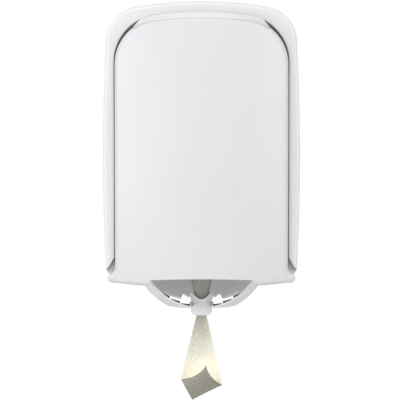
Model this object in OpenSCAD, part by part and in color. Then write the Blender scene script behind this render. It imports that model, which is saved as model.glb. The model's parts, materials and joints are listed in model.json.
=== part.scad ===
// Centrefeed roll dispenser for a wall.
// X runs to the right, the wall is the plane y = 0, the front faces -Y and Z is up.
// The origin is the centre of the wall fixing pattern. Sizes are in millimetres.

/* [Casing] */
// Width across the casing rim at its widest
body_w = 240; // [234:1:262]
// Height from the underside of the casing floor to the crest of the rim
body_h = 334; // [326:1:380]
// Depth from the wall to the front of the rim
body_d = 185; // [182:1:205]
// Height of the wall fixing centre above the underside of the casing floor
fix_up = 163; // [130:1:190]
// Wall thickness of the casing
casing_wall = 2.5; // [2:0.1:3.5]
// How much the casing narrows towards the wall on each side and at the top
casing_draft = 10; // [2:0.5:12]
// Radius of the casing's top corners
corner_r = 43; // [36:1:56]
// Radius of the casing's bottom corners
foot_r = 14; // [8:1:22]
// Radius of the crowned top
crown_r = 490; // [350:10:900]
// Radius of the bowed sides
side_r = 2600; // [1800:50:6000]
// Height of the casing's widest place above its floor
widest_up = 138; // [110:1:190]
// Radius of the outer edge of the rim
rim_edge_r = 5; // [2:0.5:7]
// Width of the rim band at the casing's widest place
rim_w = 13.4; // [11:0.2:15]
// Height of the rim band at its crest
rim_h = 13; // [11:0.5:16]
// Thickness of the rim band from front to back
rim_t = 8; // [4:0.5:12]
// Radius of the mouth's top corners
mouth_corner_r = 56; // [48:1:62]
// Width of the ledge in the mouth that the cover shuts against
ledge_w = 6; // [5:0.5:8]
// Thickness of that ledge
ledge_t = 2.5; // [2:0.1:3]
// Height above the floor where the rim's inner edge starts to slant outwards
rim_foot_up = 23.5; // [20:0.5:27]
// Height above the floor where that slant reaches the side of the casing
rim_foot_low = 9; // [6:0.5:12]

/* [Wall fixing] */
// Distance between the fixing holes from side to side
fix_dx = 140; // [100:5:150]
// Distance between the fixing holes from top to bottom
fix_dz = 200; // [120:5:220]
// Radius of a fixing hole
fix_hole_r = 2.75; // [2:0.05:4]
// Radius of the pad round a fixing hole
fix_pad_r = 9; // [7:0.5:12]
// Height of the pad on the back wall
fix_pad_h = 3; // [1:0.5:5]

/* [Front cover] */
// Wall thickness of the cover
cover_wall = 2.5; // [2:0.1:3]
// Gap between the cover and the mouth of the casing
cover_gap = 2.4; // [1.6:0.1:3.2]
// Gap over the cover's top wall, closed from the front by its lip
cover_top_gap = 6.5; // [5.5:0.5:8]
// How far the cover's edge stands in front of the rim
cover_proud = 11; // [10:0.5:16]
// Bow of the cover from side to side
cover_bow_x = 24; // [20:1:32]
// Bow of the cover from top to bottom
cover_bow_z = 6; // [3:0.5:10]
// Power of the sideways bow, where 2 is a plain arch
cover_bow_power = 2.2; // [2:0.1:3]
// Radius of the cover's front edge
cover_edge_r = 6; // [4:0.5:6.5]
// Radius of the cover's top corners
cover_corner_r = 54; // [46:1:60]
// Half width of the bevelled lip along the cover's top edge
top_lip_hw = 78; // [64:1:84]
// Gap between the lip and the crown of the mouth, seen from the front
top_lip_gap = 1.4; // [1:0.1:2.5]
// How far the lip leans back
top_lip_lean = 3.5; // [2.5:0.1:4.5]
// Thickness of the lip at its top
top_lip_t = 4.5; // [3:0.1:5]
// Gap between the cover's back edge and the ledge
ledge_gap = 0.8; // [0.5:0.1:1.5]
// How far the cover's lowest edge hangs under the casing floor
cover_drop = 10.5; // [9.5:0.5:13]
// Radius of the hollow that flares the cover's foot
flare_r = 18; // [14:1:24]
// Turn of that hollow in degrees
flare_turn = 52; // [44:1:56]
// Radius of the cover's bottom corners
lip_r = 7; // [7:0.5:9]
// Radius of the bowed bottom edge
cover_foot_r = 1650; // [1200:50:3000]
// Gap between the flared foot and the rim behind it
lip_gap = 3.5; // [2.5:0.5:5]
// Half width of the cut-out over the bowl at the bottom edge
cutout_hw = 67; // [60:1:72]
// Half width of the cut-out at its top
cutout_top_hw = 61; // [54:1:66]
// Height of the ends of the cut-out above the lowest edge
cutout_h = 7.5; // [6:0.5:8.5]
// Rise of the arched top of the cut-out
cutout_rise = 2; // [1:0.2:3]

/* [Hinge] */
// Height of the hinge axis above the underside of the casing floor
hinge_up = 1; // [0:0.2:2]
// Distance of the hinge axis in front of the rim
hinge_out = 6; // [5.5:0.1:6.5]
// Radius of a hinge pin
pin_r = 2; // [1.5:0.1:2.2]
// Radius of the pin's head
pin_head_r = 3.4; // [3:0.1:3.8]
// Thickness of the pin's head
pin_head_t = 1.2; // [0.8:0.1:1.6]
// Thickness of a hinge plate of the casing
plate_t = 3; // [2.4:0.1:3.4]
// Radius of the hinge plate round its pin
plate_r = 4; // [3.4:0.1:4.4]
// Gap between a hinge plate and the cover's side wall
plate_gap = 1.2; // [0.6:0.1:2]
// Length of a hinge plate on the casing floor
plate_l = 26; // [20:1:36]
// Thickness of an ear of the cover
ear_t = 4; // [3:0.2:6]
// Radius of an ear round its bush
ear_r = 4.9; // [4.5:0.1:5]
// Wall thickness of a hinge bush
bush_wall = 1; // [0.8:0.1:1.2]
// Thickness of the bush's flange
bush_flange_t = 0.6; // [0.4:0.1:0.9]
// Gap between the bush's flange and the hinge plate
bush_side_gap = 0.4; // [0.2:0.1:0.6]
// Space left round the cover's foot as it turns
hinge_relief = 1.6; // [1:0.2:3]

/* [Roll and tray] */
// Diameter of the paper roll
roll_d = 190; // [170:1:192]
// Height of the paper roll
roll_h = 245; // [150:1:248]
// Diameter of the hollow centre of the roll
roll_core_d = 60; // [50:1:70]
// Gap between the roll and the back wall of the casing
roll_back_gap = 7.5; // [6:0.5:10]
// Radius of the rounded edges of the roll
roll_edge_r = 3; // [1:0.5:5]
// Height of the tray's skirt above the casing floor
tray_h = 22.5; // [18:0.5:24]
// Thickness of the tray
tray_t = 3; // [2:0.2:4]
// How far the tray reaches beyond the roll
tray_over = 1.5; // [0.5:0.5:3]
// Radius of the hole in the middle of the tray
tray_hole_r = 34; // [28:1:40]
// Radius of the tray's skirt
tray_skirt_r = 80; // [76:0.5:82]
// Radius of the hole in the casing floor
floor_hole_r = 76; // [66:1:77]

/* [Outlet bowl] */
// Outer radius of the bowl
bowl_r = 89; // [86:1:92]
// Wall thickness of the bowl
bowl_wall = 2.5; // [2:0.1:3.2]
// Height of the bowl's centre above the underside of the casing floor
bowl_centre_up = 33.3; // [30:0.1:36]
// Depth of the bowl under the casing floor
bowl_depth = 43.6; // [42:0.1:46]
// Distance of the cut front of the bowl from its axis
bowl_front = 42; // [34:1:50]
// Width of the bowl's flange
bowl_flange_w = 5.5; // [4:0.5:7]
// Wall of the saddle behind the nozzle
saddle_wall = 3.2; // [2.4:0.1:4]
// Height of the saddle above the underside of the bowl
saddle_h = 6.1; // [5:0.1:7]
// Width of the floor left round the nozzle's seat
arm_w = 2; // [1.6:0.1:3.6]
// How much narrower the open front of the seat is than the nozzle, on each side
seat_snap = 0.6; // [0.3:0.1:1]
// Depth of the ledge between the cut front and the tear slots
slot_ledge = 12; // [8:0.5:16]
// How much further back the slot's front edge lies at its outer end
slot_slant = 22; // [12:1:28]
// Distance of the outer end of a tear slot from the middle
slot_hw = 49; // [46:0.5:52]
// Distance of a tear slot's outer corner behind the axis
slot_back = 34; // [28:0.5:36]
// Distance of the tip of a large tongue from the middle
tongue_x = 27; // [25:0.5:30]
// Distance of the tip of a large tongue behind the axis
tongue_back = 40; // [37:0.5:42]
// Radius at the tip of a small tongue
small_tongue_r = 49.5; // [47:0.5:51]
// Radius at the roots of the notches between the tongues
notch_r = 56; // [53:0.5:58]
// Angle from the middle of a slot to its rear end
slot_turn = 76; // [74:1:78]

/* [Nozzle] */
// Outer radius of the nozzle
nozzle_r = 13; // [12:0.1:13.5]
// Radius of the nozzle's exit
nozzle_bore_r = 6.5; // [6.2:0.1:7.5]
// Radius of the nozzle's flared crown
crown_flare_r = 17.2; // [16.2:0.1:18]
// How far the nozzle hangs under the bowl
nozzle_drop = 13.4; // [11:0.1:15]
// Height of the crown above the saddle
crown_up = 9.5; // [8:0.1:11]
// Height of the crown's widest place above the saddle
crown_flare_up = 3.2; // [2.6:0.1:4]
// Height of the two dips of the crown above the saddle
dip_up = 1.6; // [1.2:0.1:2.4]
// Radius of the dips
dip_r = 13.5; // [13:0.1:15]
// Thickness of the retaining clip
clip_t = 1.2; // [1:0.1:1.6]
// Radial width of the retaining clip
clip_w = 2; // [1.8:0.1:2.6]
// Depth of the clip's groove in the nozzle
clip_groove = 1; // [0.8:0.1:1.2]

/* [Lock] */
// Distance of the lock behind the front of the rim
lock_back = 28; // [27:0.5:36]
// Radius of the lock barrel
barrel_r = 6.5; // [5:0.1:6.8]
// Outer radius of the lock sleeve
sleeve_r = 9; // [8.6:0.1:9.4]
// Radius of the sleeve's flange
sleeve_flange_r = 11.5; // [10.5:0.1:12.5]
// Thickness of the sleeve's flange
sleeve_flange_t = 1.4; // [1:0.1:2]
// Corner radius of the six-sided lock nut
lock_nut_r = 12; // [11.4:0.1:12.2]
// Thickness of the lock nut
lock_nut_t = 4; // [3:0.5:4.5]
// Length of the lock cam from its axis
cam_l = 24; // [22:0.5:27]
// Width of the lock cam
cam_w = 9; // [7:0.5:10]
// Thickness of the lock cam and of the catch plate
cam_t = 2.5; // [2:0.1:3]
// Gap between the locked cam and the catch
catch_gap = 0.6; // [0.4:0.1:1]
// Height of the free space between the cover's top wall and the cam
cam_under = 14; // [12:0.5:18]

/* [Paper tail] */
// Gap between the gathered paper and the nozzle's exit
paper_gap = 0.3; // [0.2:0.05:1.2]
// Length of the tail under the nozzle
tail_l = 109; // [80:1:130]
// Half width of the spread end
tail_hw = 26; // [16:1:36]
// Thickness of the gathered sheet
tail_t = 1.6; // [1.2:0.1:2.4]
// Depth of the trough that the sheet forms
trough = 9; // [4:0.5:12]
// Depth of the small folds in it
fold_depth = 0.7; // [0.2:0.1:1.2]
// Number of small folds across the tail
fold_count = 5; // [3:1:6]
// How far the turned-up end leans to the front
flap_lean = 23; // [10:1:30]
// Place of the sheet's lowest corner, from -1 on the left to 1 on the right
tail_low_s = -0.45; // [-0.8:0.05:0.8]
// Share of the length by which the left corner stays above the lowest one
tail_left_rise = 0.26; // [0:0.02:0.4]
// Share of the length by which the right corner stays above the lowest one
tail_right_rise = 0.18; // [0:0.02:0.4]

/* [Screws and fits] */
// Radius of a screw's shank
screw_r = 1.9; // [1.5:0.1:2.2]
// Radius of a screw's head
screw_head_r = 3.6; // [3.2:0.1:4]
// Height of a screw's head
screw_head_h = 2; // [1.6:0.1:2.4]
// Radial clearance of pieces that turn
run_clear = 0.06; // [0.04:0.01:0.1]
// Radial clearance of pieces that stay put
seat_clear = 0.03; // [0.02:0.01:0.06]
// Clearance round a flange in its recess
seat_relief = 0.3; // [0.2:0.1:0.6]

/* [Hidden] */
$fn = 96;

// Heights and depths shared by several pieces
eps = 0.5;
floor_z = -fix_up;
floor_top = floor_z + casing_wall;
tray_z = floor_top + tray_h + tray_t;

// Screw places
flange_r = sqrt(pow(bowl_r, 2) - pow(bowl_centre_up, 2)) + bowl_flange_w;
bowl_lug_r = flange_r - 1;
bowl_lug_turns = [-22, 50, 130, 202];
tray_lug_turns = [20, 90, 160];
lug_r = screw_r + 3.6;
tray_lug_r = flange_r + screw_head_r + 0.4;
lug_h = 8;

// The roll stands clear of the back wall, and so do the lugs of the tray under it
lug_back_gap = 4;
roll_y = -(casing_wall + max(roll_back_gap + roll_d / 2, lug_back_gap + tray_lug_r + lug_r));

// The casing grows past body_h and body_d where the roll needs more room
roll_head_gap = 6;
tray_proud = 18;
lock_room = rim_h + cover_top_gap + cover_wall + cam_under + 2 * cam_t;
crest_z = max(body_h - fix_up, tray_z + roll_h + roll_head_gap + lock_room);
shell_d = max(body_d, roll_d / 2 + tray_over - tray_proud - roll_y);

// Mouth and cover
widest_z = floor_z + widest_up;
mouth_hw = body_w / 2 - rim_w;
mouth_crest = crest_z - rim_h;
cover_hw = mouth_hw - cover_gap;
cover_crest = mouth_crest - cover_top_gap;
cover_lap = rim_t - ledge_gap;

// Slanted cut at the lower end of the rim, on the right
rim_foot_cut = [[mouth_hw - eps, floor_z + rim_foot_up], [mouth_hw - eps, floor_z - 1],
    [body_w / 2 + 1, floor_z - 1], [body_w / 2 + 1, floor_z + rim_foot_low]];

// Hinge
hinge_y = -(shell_d + hinge_out);
hinge_z = floor_z + hinge_up;
plate_x = cover_hw - cover_wall - plate_gap - plate_t;
bush_r = pin_r + run_clear + bush_wall;
ear_x = plate_x - bush_side_gap - bush_flange_t - ear_t;
foot_rise = cover_foot_r - sqrt(pow(cover_foot_r, 2) - pow(cutout_hw, 2));
relief_r = cover_drop + hinge_up + hinge_relief - foot_rise;

// Outline of the cover
lip_x = cover_hw + flare_r - (flare_r + lip_r) * cos(flare_turn);
cover_low = floor_z - cover_drop;
cover_foot_z = cover_low + cover_foot_r;
lip_z = cover_foot_z - sqrt(pow(cover_foot_r - lip_r, 2) - pow(lip_x, 2));
flare_z = lip_z + (flare_r + lip_r) * sin(flare_turn);
cover_crown_z = cover_crest - crown_r;
cover_corner = corner_on_side(cover_hw, cover_corner_r, cover_crown_z);
cover_mid_z = (cover_crest + cover_low) / 2;
cover_half_h = (cover_crest - cover_low) / 2;
rear_step = 8;

// Bowl and nozzle
bowl_z = floor_z + bowl_centre_up;
bowl_low = floor_z - bowl_depth;
saddle_top = bowl_low + saddle_h;
neck_r = nozzle_bore_r - paper_gap;
nozzle_low = bowl_low - nozzle_drop;
seat_r = nozzle_r + run_clear;
throat_hw = seat_r - seat_snap;

// Lock
lock_y = -(shell_d - lock_back);
lock_seat = crest_z - casing_draft * lock_back / shell_d - 0.6;
lock_boss_low = mouth_crest + 2;
cam_top = cover_crest - cover_wall - cam_under;
catch_top = cam_top + 0.5 + cam_t;
catch_x = cam_w / 2 + 9;
catch_w = cam_l - catch_x + 3;
catch_back = lock_y + cam_w / 2 + catch_gap + cam_t;
catch_front = -(shell_d + 9);
catch_screw_x = [catch_x + 2, catch_x + catch_w + 16];
catch_screw_y = -(shell_d + 1);
catch_screw_l = 6;

// Points on an arc about c
function arc(c, r, from, to, n) =
    [for (i = [0 : n]) let (a = from + (to - from) * i / n) [c.x + r * cos(a), c.y + r * sin(a)]];

// Centre of a corner of radius r between the upright x = hw and the crown about (0, crown_z)
function corner_on_side(hw, r, crown_z) =
    [hw - r, crown_z + sqrt(pow(crown_r - r, 2) - pow(hw - r, 2))];

// Upper right meeting point of two circles
function circles_meet(c1, r1, c2, r2) =
    let (d = norm(c2 - c1), a = (d * d + r1 * r1 - r2 * r2) / (2 * d), h = sqrt(r1 * r1 - a * a),
        u = (c2 - c1) / d, p = c1 + a * u)
    let (q1 = p + h * [-u.y, u.x], q2 = p - h * [-u.y, u.x])
    q1.x > q2.x ? q1 : q2;

function angle_from(c, p) = atan2(p.y - c.y, p.x - c.x);

// Without repeated neighbours, closed by its mirror image across x = 0
function mirrored(half) =
    let (n = len(half))
    concat(half, [for (i = [n - 2 : -1 : 1]) [-half[i].x, half[i].y]]);

// Every point but the first, for joining arcs end to end
function tail_of(points) = [for (i = [1 : len(points) - 1]) points[i]];

// Outline of the casing, set in by d at the sides and top, standing on zb
function casing_outline(d, zb) =
    let (s = [body_w / 2 - side_r, widest_z], t = [0, crest_z - crown_r],
        c = circles_meet(s, side_r - corner_r, t, crown_r - corner_r),
        foot = [s.x + sqrt(pow(side_r - d - foot_r, 2) - pow(zb + foot_r - s.y, 2)), zb + foot_r],
        a1 = angle_from(s, foot), a2 = angle_from(s, c), a3 = angle_from(t, c))
    mirrored(concat([[0, zb]],
        arc(foot, foot_r, -90, a1, 5),
        tail_of(arc(s, side_r - d, a1, a2, 6)),
        tail_of(arc(c, corner_r - d, a2, a3, 8)),
        tail_of(arc(t, crown_r - d, a3, 90, 6))));

// Outline of the mouth that the cover sits in, set in by d at its sides and top
function mouth_outline(d) =
    let (zc = mouth_crest - crown_r, c = corner_on_side(mouth_hw, mouth_corner_r, zc),
        a = angle_from([0, zc], c))
    mirrored(concat([[0, floor_top], [mouth_hw - d, floor_top]],
        arc(c, mouth_corner_r - d, 0, a, 12),
        tail_of(arc([0, zc], crown_r - d, a, 90, 8))));

// Outline of the cover, set in by d
function cover_outline(d) =
    let (hollow = [cover_hw + flare_r, flare_z], lip = [lip_x, lip_z], foot = [0, cover_foot_z],
        crown = [0, cover_crown_z], a1 = angle_from(foot, lip), a2 = angle_from(crown, cover_corner))
    mirrored(concat(
        arc(foot, cover_foot_r - d, -90, a1, 6),
        tail_of(arc(lip, lip_r - d, a1, flare_turn, 5)),
        tail_of(arc(hollow, flare_r + d, 180 + flare_turn, 180, 4)),
        [for (i = [1 : 9]) [cover_hw - d, flare_z + (cover_corner.y - flare_z) * i / 9]],
        tail_of(arc(cover_corner, cover_corner_r - d, 0, a2, 8)),
        tail_of(arc(crown, crown_r - d, a2, 90, 6))));

// Height of an outline's top edge at x, from its half width, corner radius and crest
function top_edge(x, hw, r, crest) =
    let (zc = crest - crown_r, c = corner_on_side(hw, r, zc))
    abs(x) < c.x * crown_r / (crown_r - r) ? zc + sqrt(pow(crown_r, 2) - pow(x, 2))
    : c.y + sqrt(pow(r, 2) - pow(abs(x) - c.x, 2));

// Front surface of the cover
function cover_y(p) = -(shell_d + cover_proud
    + cover_bow_x * (1 - pow(min(1, abs(p.x) / cover_hw), cover_bow_power))
    + cover_bow_z * (1 - pow((p.y - cover_mid_z) / cover_half_h, 2)));

// Rear edge of the cover: behind the rim at the sides and top, in front of it at the foot
function cover_rear(z) =
    let (k = max(0, min(1, (z - flare_z) / rear_step)))
    -(shell_d + lip_gap) + k * (lip_gap + cover_lap);

// Ring of the cover's edge at angle a, lowered by t inside the wall
function cover_edge_ring(t, a) =
    let (r = cover_edge_r - t)
    [for (p = cover_outline(t + r * (1 - sin(a)))) [p.x, cover_y(p) + t + r * (1 - cos(a)), p.y]];

// Ring on the front surface at k times the size of the outline
function cover_face_ring(t, k) =
    [for (q = cover_outline(cover_edge_r))
        let (p = [q.x * k, cover_mid_z + (q.y - cover_mid_z) * k]) [p.x, cover_y(p) + t, p.y]];

function cover_rear_ring(d) = [for (p = cover_outline(d)) [p.x, cover_rear(p.y), p.y]];

function mean(points) = [for (k = [0 : 2]) let (v = [for (p = points) p[k]]) v * [for (i = v) 1] / len(v)];

// Side faces of a skin over m rings of n points
function skin_faces(m, n) = [for (i = [0 : m - 2], j = [0 : n - 1]) let (k = (j + 1) % n)
    each [[i * n + j, (i + 1) * n + k, i * n + k], [i * n + j, (i + 1) * n + j, (i + 1) * n + k]]];

// Solid skinned over rings of equal length, closed by a fan at both ends
module loft(rings) {
    n = len(rings[0]);
    m = len(rings);
    first = [for (j = [0 : n - 1]) [m * n, j, (j + 1) % n]];
    last = [for (j = [0 : n - 1]) [m * n + 1, (m - 1) * n + (j + 1) % n, (m - 1) * n + j]];
    polyhedron(points = concat([for (r = rings) each r], [mean(rings[0]), mean(rings[m - 1])]),
        faces = concat(skin_faces(m, n), first, last), convexity = 8);
}

// Thin solid skinned over rings that run along one face and back along the other
module sheet_loft(rings) {
    n = len(rings[0]);
    m = len(rings);
    e = (m - 1) * n;
    first = [for (j = [0 : n / 2 - 2]) let (k = n - 2 - j) each [[j, j + 1, k], [j, k, k + 1]]];
    last = [for (f = first) [f[1] + e, f[0] + e, f[2] + e]];
    polyhedron(points = [for (r = rings) each r], convexity = 8,
        faces = concat(skin_faces(m, n), first, last));
}

// Outline in X and Z, extruded from y0 towards the front
module along_y(points, y0, depth) {
    translate([0, y0, 0]) rotate([90, 0, 0]) linear_extrude(depth) polygon(points);
}

// Cylinder along X from x = x0
module bar_x(r, x0, l) {
    translate([x0, hinge_y, hinge_z]) rotate([0, 90, 0]) cylinder(r = r, h = l);
}

// Places of screws round the roll's axis
module round_axis(r, turns) {
    for (a = turns) translate([r * cos(a), roll_y + r * sin(a), 0]) children();
}

module both_sides() {
    children();
    mirror([1, 0, 0]) children();
}

// Screw with its head down and its shank up, standing on z = 0
module screw_up(l) {
    difference() {
        union() {
            translate([0, 0, -screw_head_h]) cylinder(r = screw_head_r, h = screw_head_h);
            cylinder(r = screw_r, h = l);
        }
        translate([0, 0, -screw_head_h - eps])
            cylinder(r = screw_r * 0.7, h = screw_head_h * 0.6 + eps, $fn = 6);
    }
}

// Height of the drafted casing's inset at depth y
function draft_at(y) = casing_draft * (1 + y / shell_d);

function casing_ring(y, d, zb) = [for (p = casing_outline(d, zb)) [p.x, y, p.y]];

module casing_skin() {
    back_edge = 2;
    loft(concat(
        [casing_ring(0, draft_at(0) + back_edge, floor_z),
            casing_ring(-back_edge, draft_at(-back_edge), floor_z)],
        [for (a = [0 : 22.5 : 90]) let (y = -shell_d + rim_edge_r * (1 - sin(a)))
            casing_ring(y, draft_at(y) + rim_edge_r * (1 - cos(a)), floor_z)]));
}

module casing_cavity() {
    front = -(shell_d - rim_t - ledge_t);
    loft([casing_ring(-casing_wall, draft_at(-casing_wall) + casing_wall, floor_top),
        casing_ring(front, draft_at(front) + casing_wall, floor_top)]);
}

// Plate on the casing floor that carries a hinge pin, on the right
module hinge_plate() {
    translate([plate_x, 0, 0]) rotate([90, 0, 90]) linear_extrude(plate_t) {
        translate([hinge_y, hinge_z]) circle(r = plate_r);
        translate([hinge_y, hinge_z - plate_r]) square([plate_l, 2 * plate_r]);
    }
}

// The four wall fixings, from depth y towards the front
module fix_places(y) {
    for (x = [-fix_dx / 2, fix_dx / 2], z = [-fix_dz / 2, fix_dz / 2])
        translate([x, y, z]) rotate([90, 0, 0]) children();
}

module rear_casing() {
    color([0.91, 0.915, 0.92]) difference() {
        union() {
            difference() {
                casing_skin();
                casing_cavity();
                along_y(mouth_outline(ledge_w), -(shell_d - rim_t - ledge_t - eps), ledge_t + 2 * eps);
                along_y(mouth_outline(0), -(shell_d - rim_t), rim_t + eps);
                both_sides() along_y(rim_foot_cut, -(shell_d - rim_t), rim_t + eps);
                bar_x(relief_r, -body_w, 2 * body_w);
            }
            both_sides() hinge_plate();
            translate([0, lock_y, lock_boss_low])
                cylinder(r = sleeve_flange_r + 2, h = lock_seat - lock_boss_low);
            fix_places(-1) cylinder(r = fix_pad_r, h = casing_wall + fix_pad_h - 1);
            round_axis(bowl_lug_r, bowl_lug_turns)
                translate([0, 0, floor_z + 1]) cylinder(r = lug_r, h = lug_h);
        }
        fix_places(eps) cylinder(r = fix_hole_r, h = casing_wall + fix_pad_h + 2 * eps);
        translate([0, roll_y, floor_z - eps]) cylinder(r = floor_hole_r, h = casing_wall + 2 * eps);
        round_axis(bowl_lug_r, bowl_lug_turns)
            translate([0, 0, floor_z - eps]) cylinder(r = screw_r + seat_clear, h = lug_h - 1);
        round_axis(tray_lug_r, tray_lug_turns)
            translate([0, 0, floor_z - eps]) cylinder(r = screw_r + seat_clear, h = casing_wall + 2 * eps);
        translate([0, lock_y, lock_boss_low - eps]) cylinder(r = sleeve_r + seat_clear, h = rim_h + 10);
        translate([0, lock_y, lock_seat]) cylinder(r = sleeve_flange_r + seat_relief, h = rim_h);
        both_sides() bar_x(pin_r + seat_clear, plate_x - eps, plate_t + 2 * eps);
    }
}

module roll_tray() {
    color([0.86, 0.87, 0.88]) difference() {
        union() {
            translate([0, roll_y, 0]) rotate_extrude() polygon([
                [tray_skirt_r - casing_wall, floor_top], [tray_skirt_r, floor_top],
                [tray_skirt_r, tray_z - tray_t], [roll_d / 2 + tray_over, tray_z - tray_t],
                [roll_d / 2 + tray_over, tray_z], [tray_hole_r + tray_t, tray_z],
                [tray_hole_r, tray_z - tray_t], [tray_skirt_r - casing_wall, tray_z - tray_t]]);
            round_axis(tray_lug_r, tray_lug_turns)
                translate([0, 0, floor_top]) cylinder(r = lug_r, h = lug_h);
            for (a = tray_lug_turns) translate([0, roll_y, floor_top]) rotate([0, 0, a])
                translate([tray_skirt_r - 1, -lug_r + 1, 0])
                cube([tray_lug_r - tray_skirt_r + 1, 2 * lug_r - 2, lug_h]);
        }
        round_axis(tray_lug_r, tray_lug_turns)
            translate([0, 0, floor_top - eps]) cylinder(r = screw_r + seat_clear, h = lug_h - 1);
    }
}

module tray_screws() {
    color([0.75, 0.76, 0.78]) round_axis(tray_lug_r, tray_lug_turns)
        translate([0, 0, floor_z]) screw_up(casing_wall + lug_h - 3);
}

// Plan of the tear slot on the right: a ledge in front, saw-toothed tongues behind
function slot_plan() =
    let (inner_x = seat_r + arm_w, inner_r = inner_x + 1, front = -(bowl_front - slot_ledge),
        teeth = [[notch_r, 65], [small_tongue_r, 70], [notch_r, slot_turn]])
    concat([[inner_x, front], [slot_hw, front + slot_slant], [slot_hw, slot_back],
            [tongue_x, tongue_back]],
        [for (q = teeth) q.x * [cos(q.y), sin(q.y)]],
        arc([0, 0], inner_r, slot_turn, acos(inner_x / inner_r), 8));

module outlet_bowl() {
    color([0.88, 0.885, 0.89]) translate([0, roll_y, 0]) difference() {
        union() {
            intersection() {
                difference() {
                    translate([0, 0, bowl_z]) sphere(r = bowl_r);
                    intersection() {
                        translate([0, 0, bowl_z]) sphere(r = bowl_r - bowl_wall);
                        translate([0, 0, bowl_low + bowl_wall]) cylinder(r = bowl_r, h = 2 * bowl_r);
                    }
                }
                translate([0, 0, bowl_low]) cylinder(r = bowl_r, h = bowl_depth);
            }
            translate([0, 0, floor_z - bowl_wall]) difference() {
                cylinder(r = flange_r, h = bowl_wall);
                translate([0, 0, -eps]) cylinder(r = flange_r - bowl_flange_w - 1, h = bowl_wall + 2 * eps);
            }
            translate([0, -roll_y, floor_z - bowl_wall]) round_axis(bowl_lug_r, bowl_lug_turns)
                cylinder(r = lug_r, h = bowl_wall);
            translate([0, 0, bowl_low]) intersection() {
                cylinder(r = seat_r + saddle_wall, h = saddle_h);
                translate([-throat_hw, 0, 0]) cube([2 * throat_hw, 2 * seat_r, saddle_h]);
            }
        }
        translate([-bowl_r - 10, -bowl_front - bowl_r, bowl_low - 1])
            cube([2 * bowl_r + 20, bowl_r, bowl_depth + 2]);
        both_sides() translate([0, 0, bowl_low - eps])
            linear_extrude(bowl_depth / 2) polygon(slot_plan());
        translate([0, 0, bowl_low - eps]) cylinder(r = seat_r, h = saddle_h + 2 * eps);
        translate([-throat_hw, -bowl_r, bowl_low - eps])
            cube([2 * throat_hw, bowl_r, saddle_h + 2 * eps]);
        translate([0, -roll_y, floor_z - bowl_wall - eps]) round_axis(bowl_lug_r, bowl_lug_turns)
            cylinder(r = screw_r + seat_clear, h = bowl_wall + 2 * eps);
    }
}

module bowl_screws() {
    color([0.75, 0.76, 0.78]) round_axis(bowl_lug_r, bowl_lug_turns)
        translate([0, 0, floor_z - bowl_wall]) screw_up(bowl_wall + lug_h - 3);
}

// Hinge pin on the right, with its head outside the plate
module hinge_pin() {
    bar_x(pin_r, ear_x - 1, plate_x + plate_t - ear_x + 1);
    bar_x(pin_head_r, plate_x + plate_t, pin_head_t);
}

module hinge_pin_right() {
    color([0.7, 0.71, 0.73]) hinge_pin();
}

module hinge_pin_left() {
    color([0.7, 0.71, 0.73]) mirror([1, 0, 0]) hinge_pin();
}

module hinge_bush() {
    difference() {
        union() {
            bar_x(bush_r, ear_x, ear_t);
            bar_x(bush_r + 1, ear_x + ear_t, bush_flange_t);
        }
        bar_x(pin_r + run_clear, ear_x - eps, ear_t + bush_flange_t + 2 * eps);
    }
}

module hinge_bush_right() {
    color([0.3, 0.31, 0.33]) hinge_bush();
}

module hinge_bush_left() {
    color([0.3, 0.31, 0.33]) mirror([1, 0, 0]) hinge_bush();
}

// Ear of the cover on the right, standing on the cover's bottom wall
module cover_ear() {
    low = cover_foot_z - sqrt(pow(cover_foot_r, 2) - pow(ear_x, 2)) + cover_wall / 2;
    translate([ear_x, 0, 0]) rotate([90, 0, 90]) linear_extrude(ear_t) {
        translate([hinge_y, hinge_z]) circle(r = ear_r);
        translate([hinge_y - ear_r, low]) square([2 * ear_r - 1, hinge_z - low]);
    }
}

// Section at x of the bevelled lip, rooted in the rounded top edge of the cover
function lip_section(x) =
    let (zc = top_edge(x, cover_hw, cover_corner_r, cover_crest),
        zt = top_edge(x, mouth_hw, mouth_corner_r, mouth_crest) - top_lip_gap,
        y = cover_y([x, zc]) + cover_edge_r / 4, back = y + top_lip_lean + top_lip_t)
    [[x, back, zc - cover_wall / 2], [x, back, zt], [x, y + top_lip_lean, zt],
        [x, y, zc - cover_edge_r * 0.32], [x, y + 0.7, zc - cover_edge_r / 2]];

// Pad under the cover's top wall that a catch screw goes into
module catch_pad(x) {
    drop = pow(x, 2) / (2 * crown_r);
    translate([x, catch_screw_y, catch_top])
        cylinder(r = lug_r - 0.5, h = cover_crest - cover_wall / 2 - drop - catch_top);
}

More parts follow.
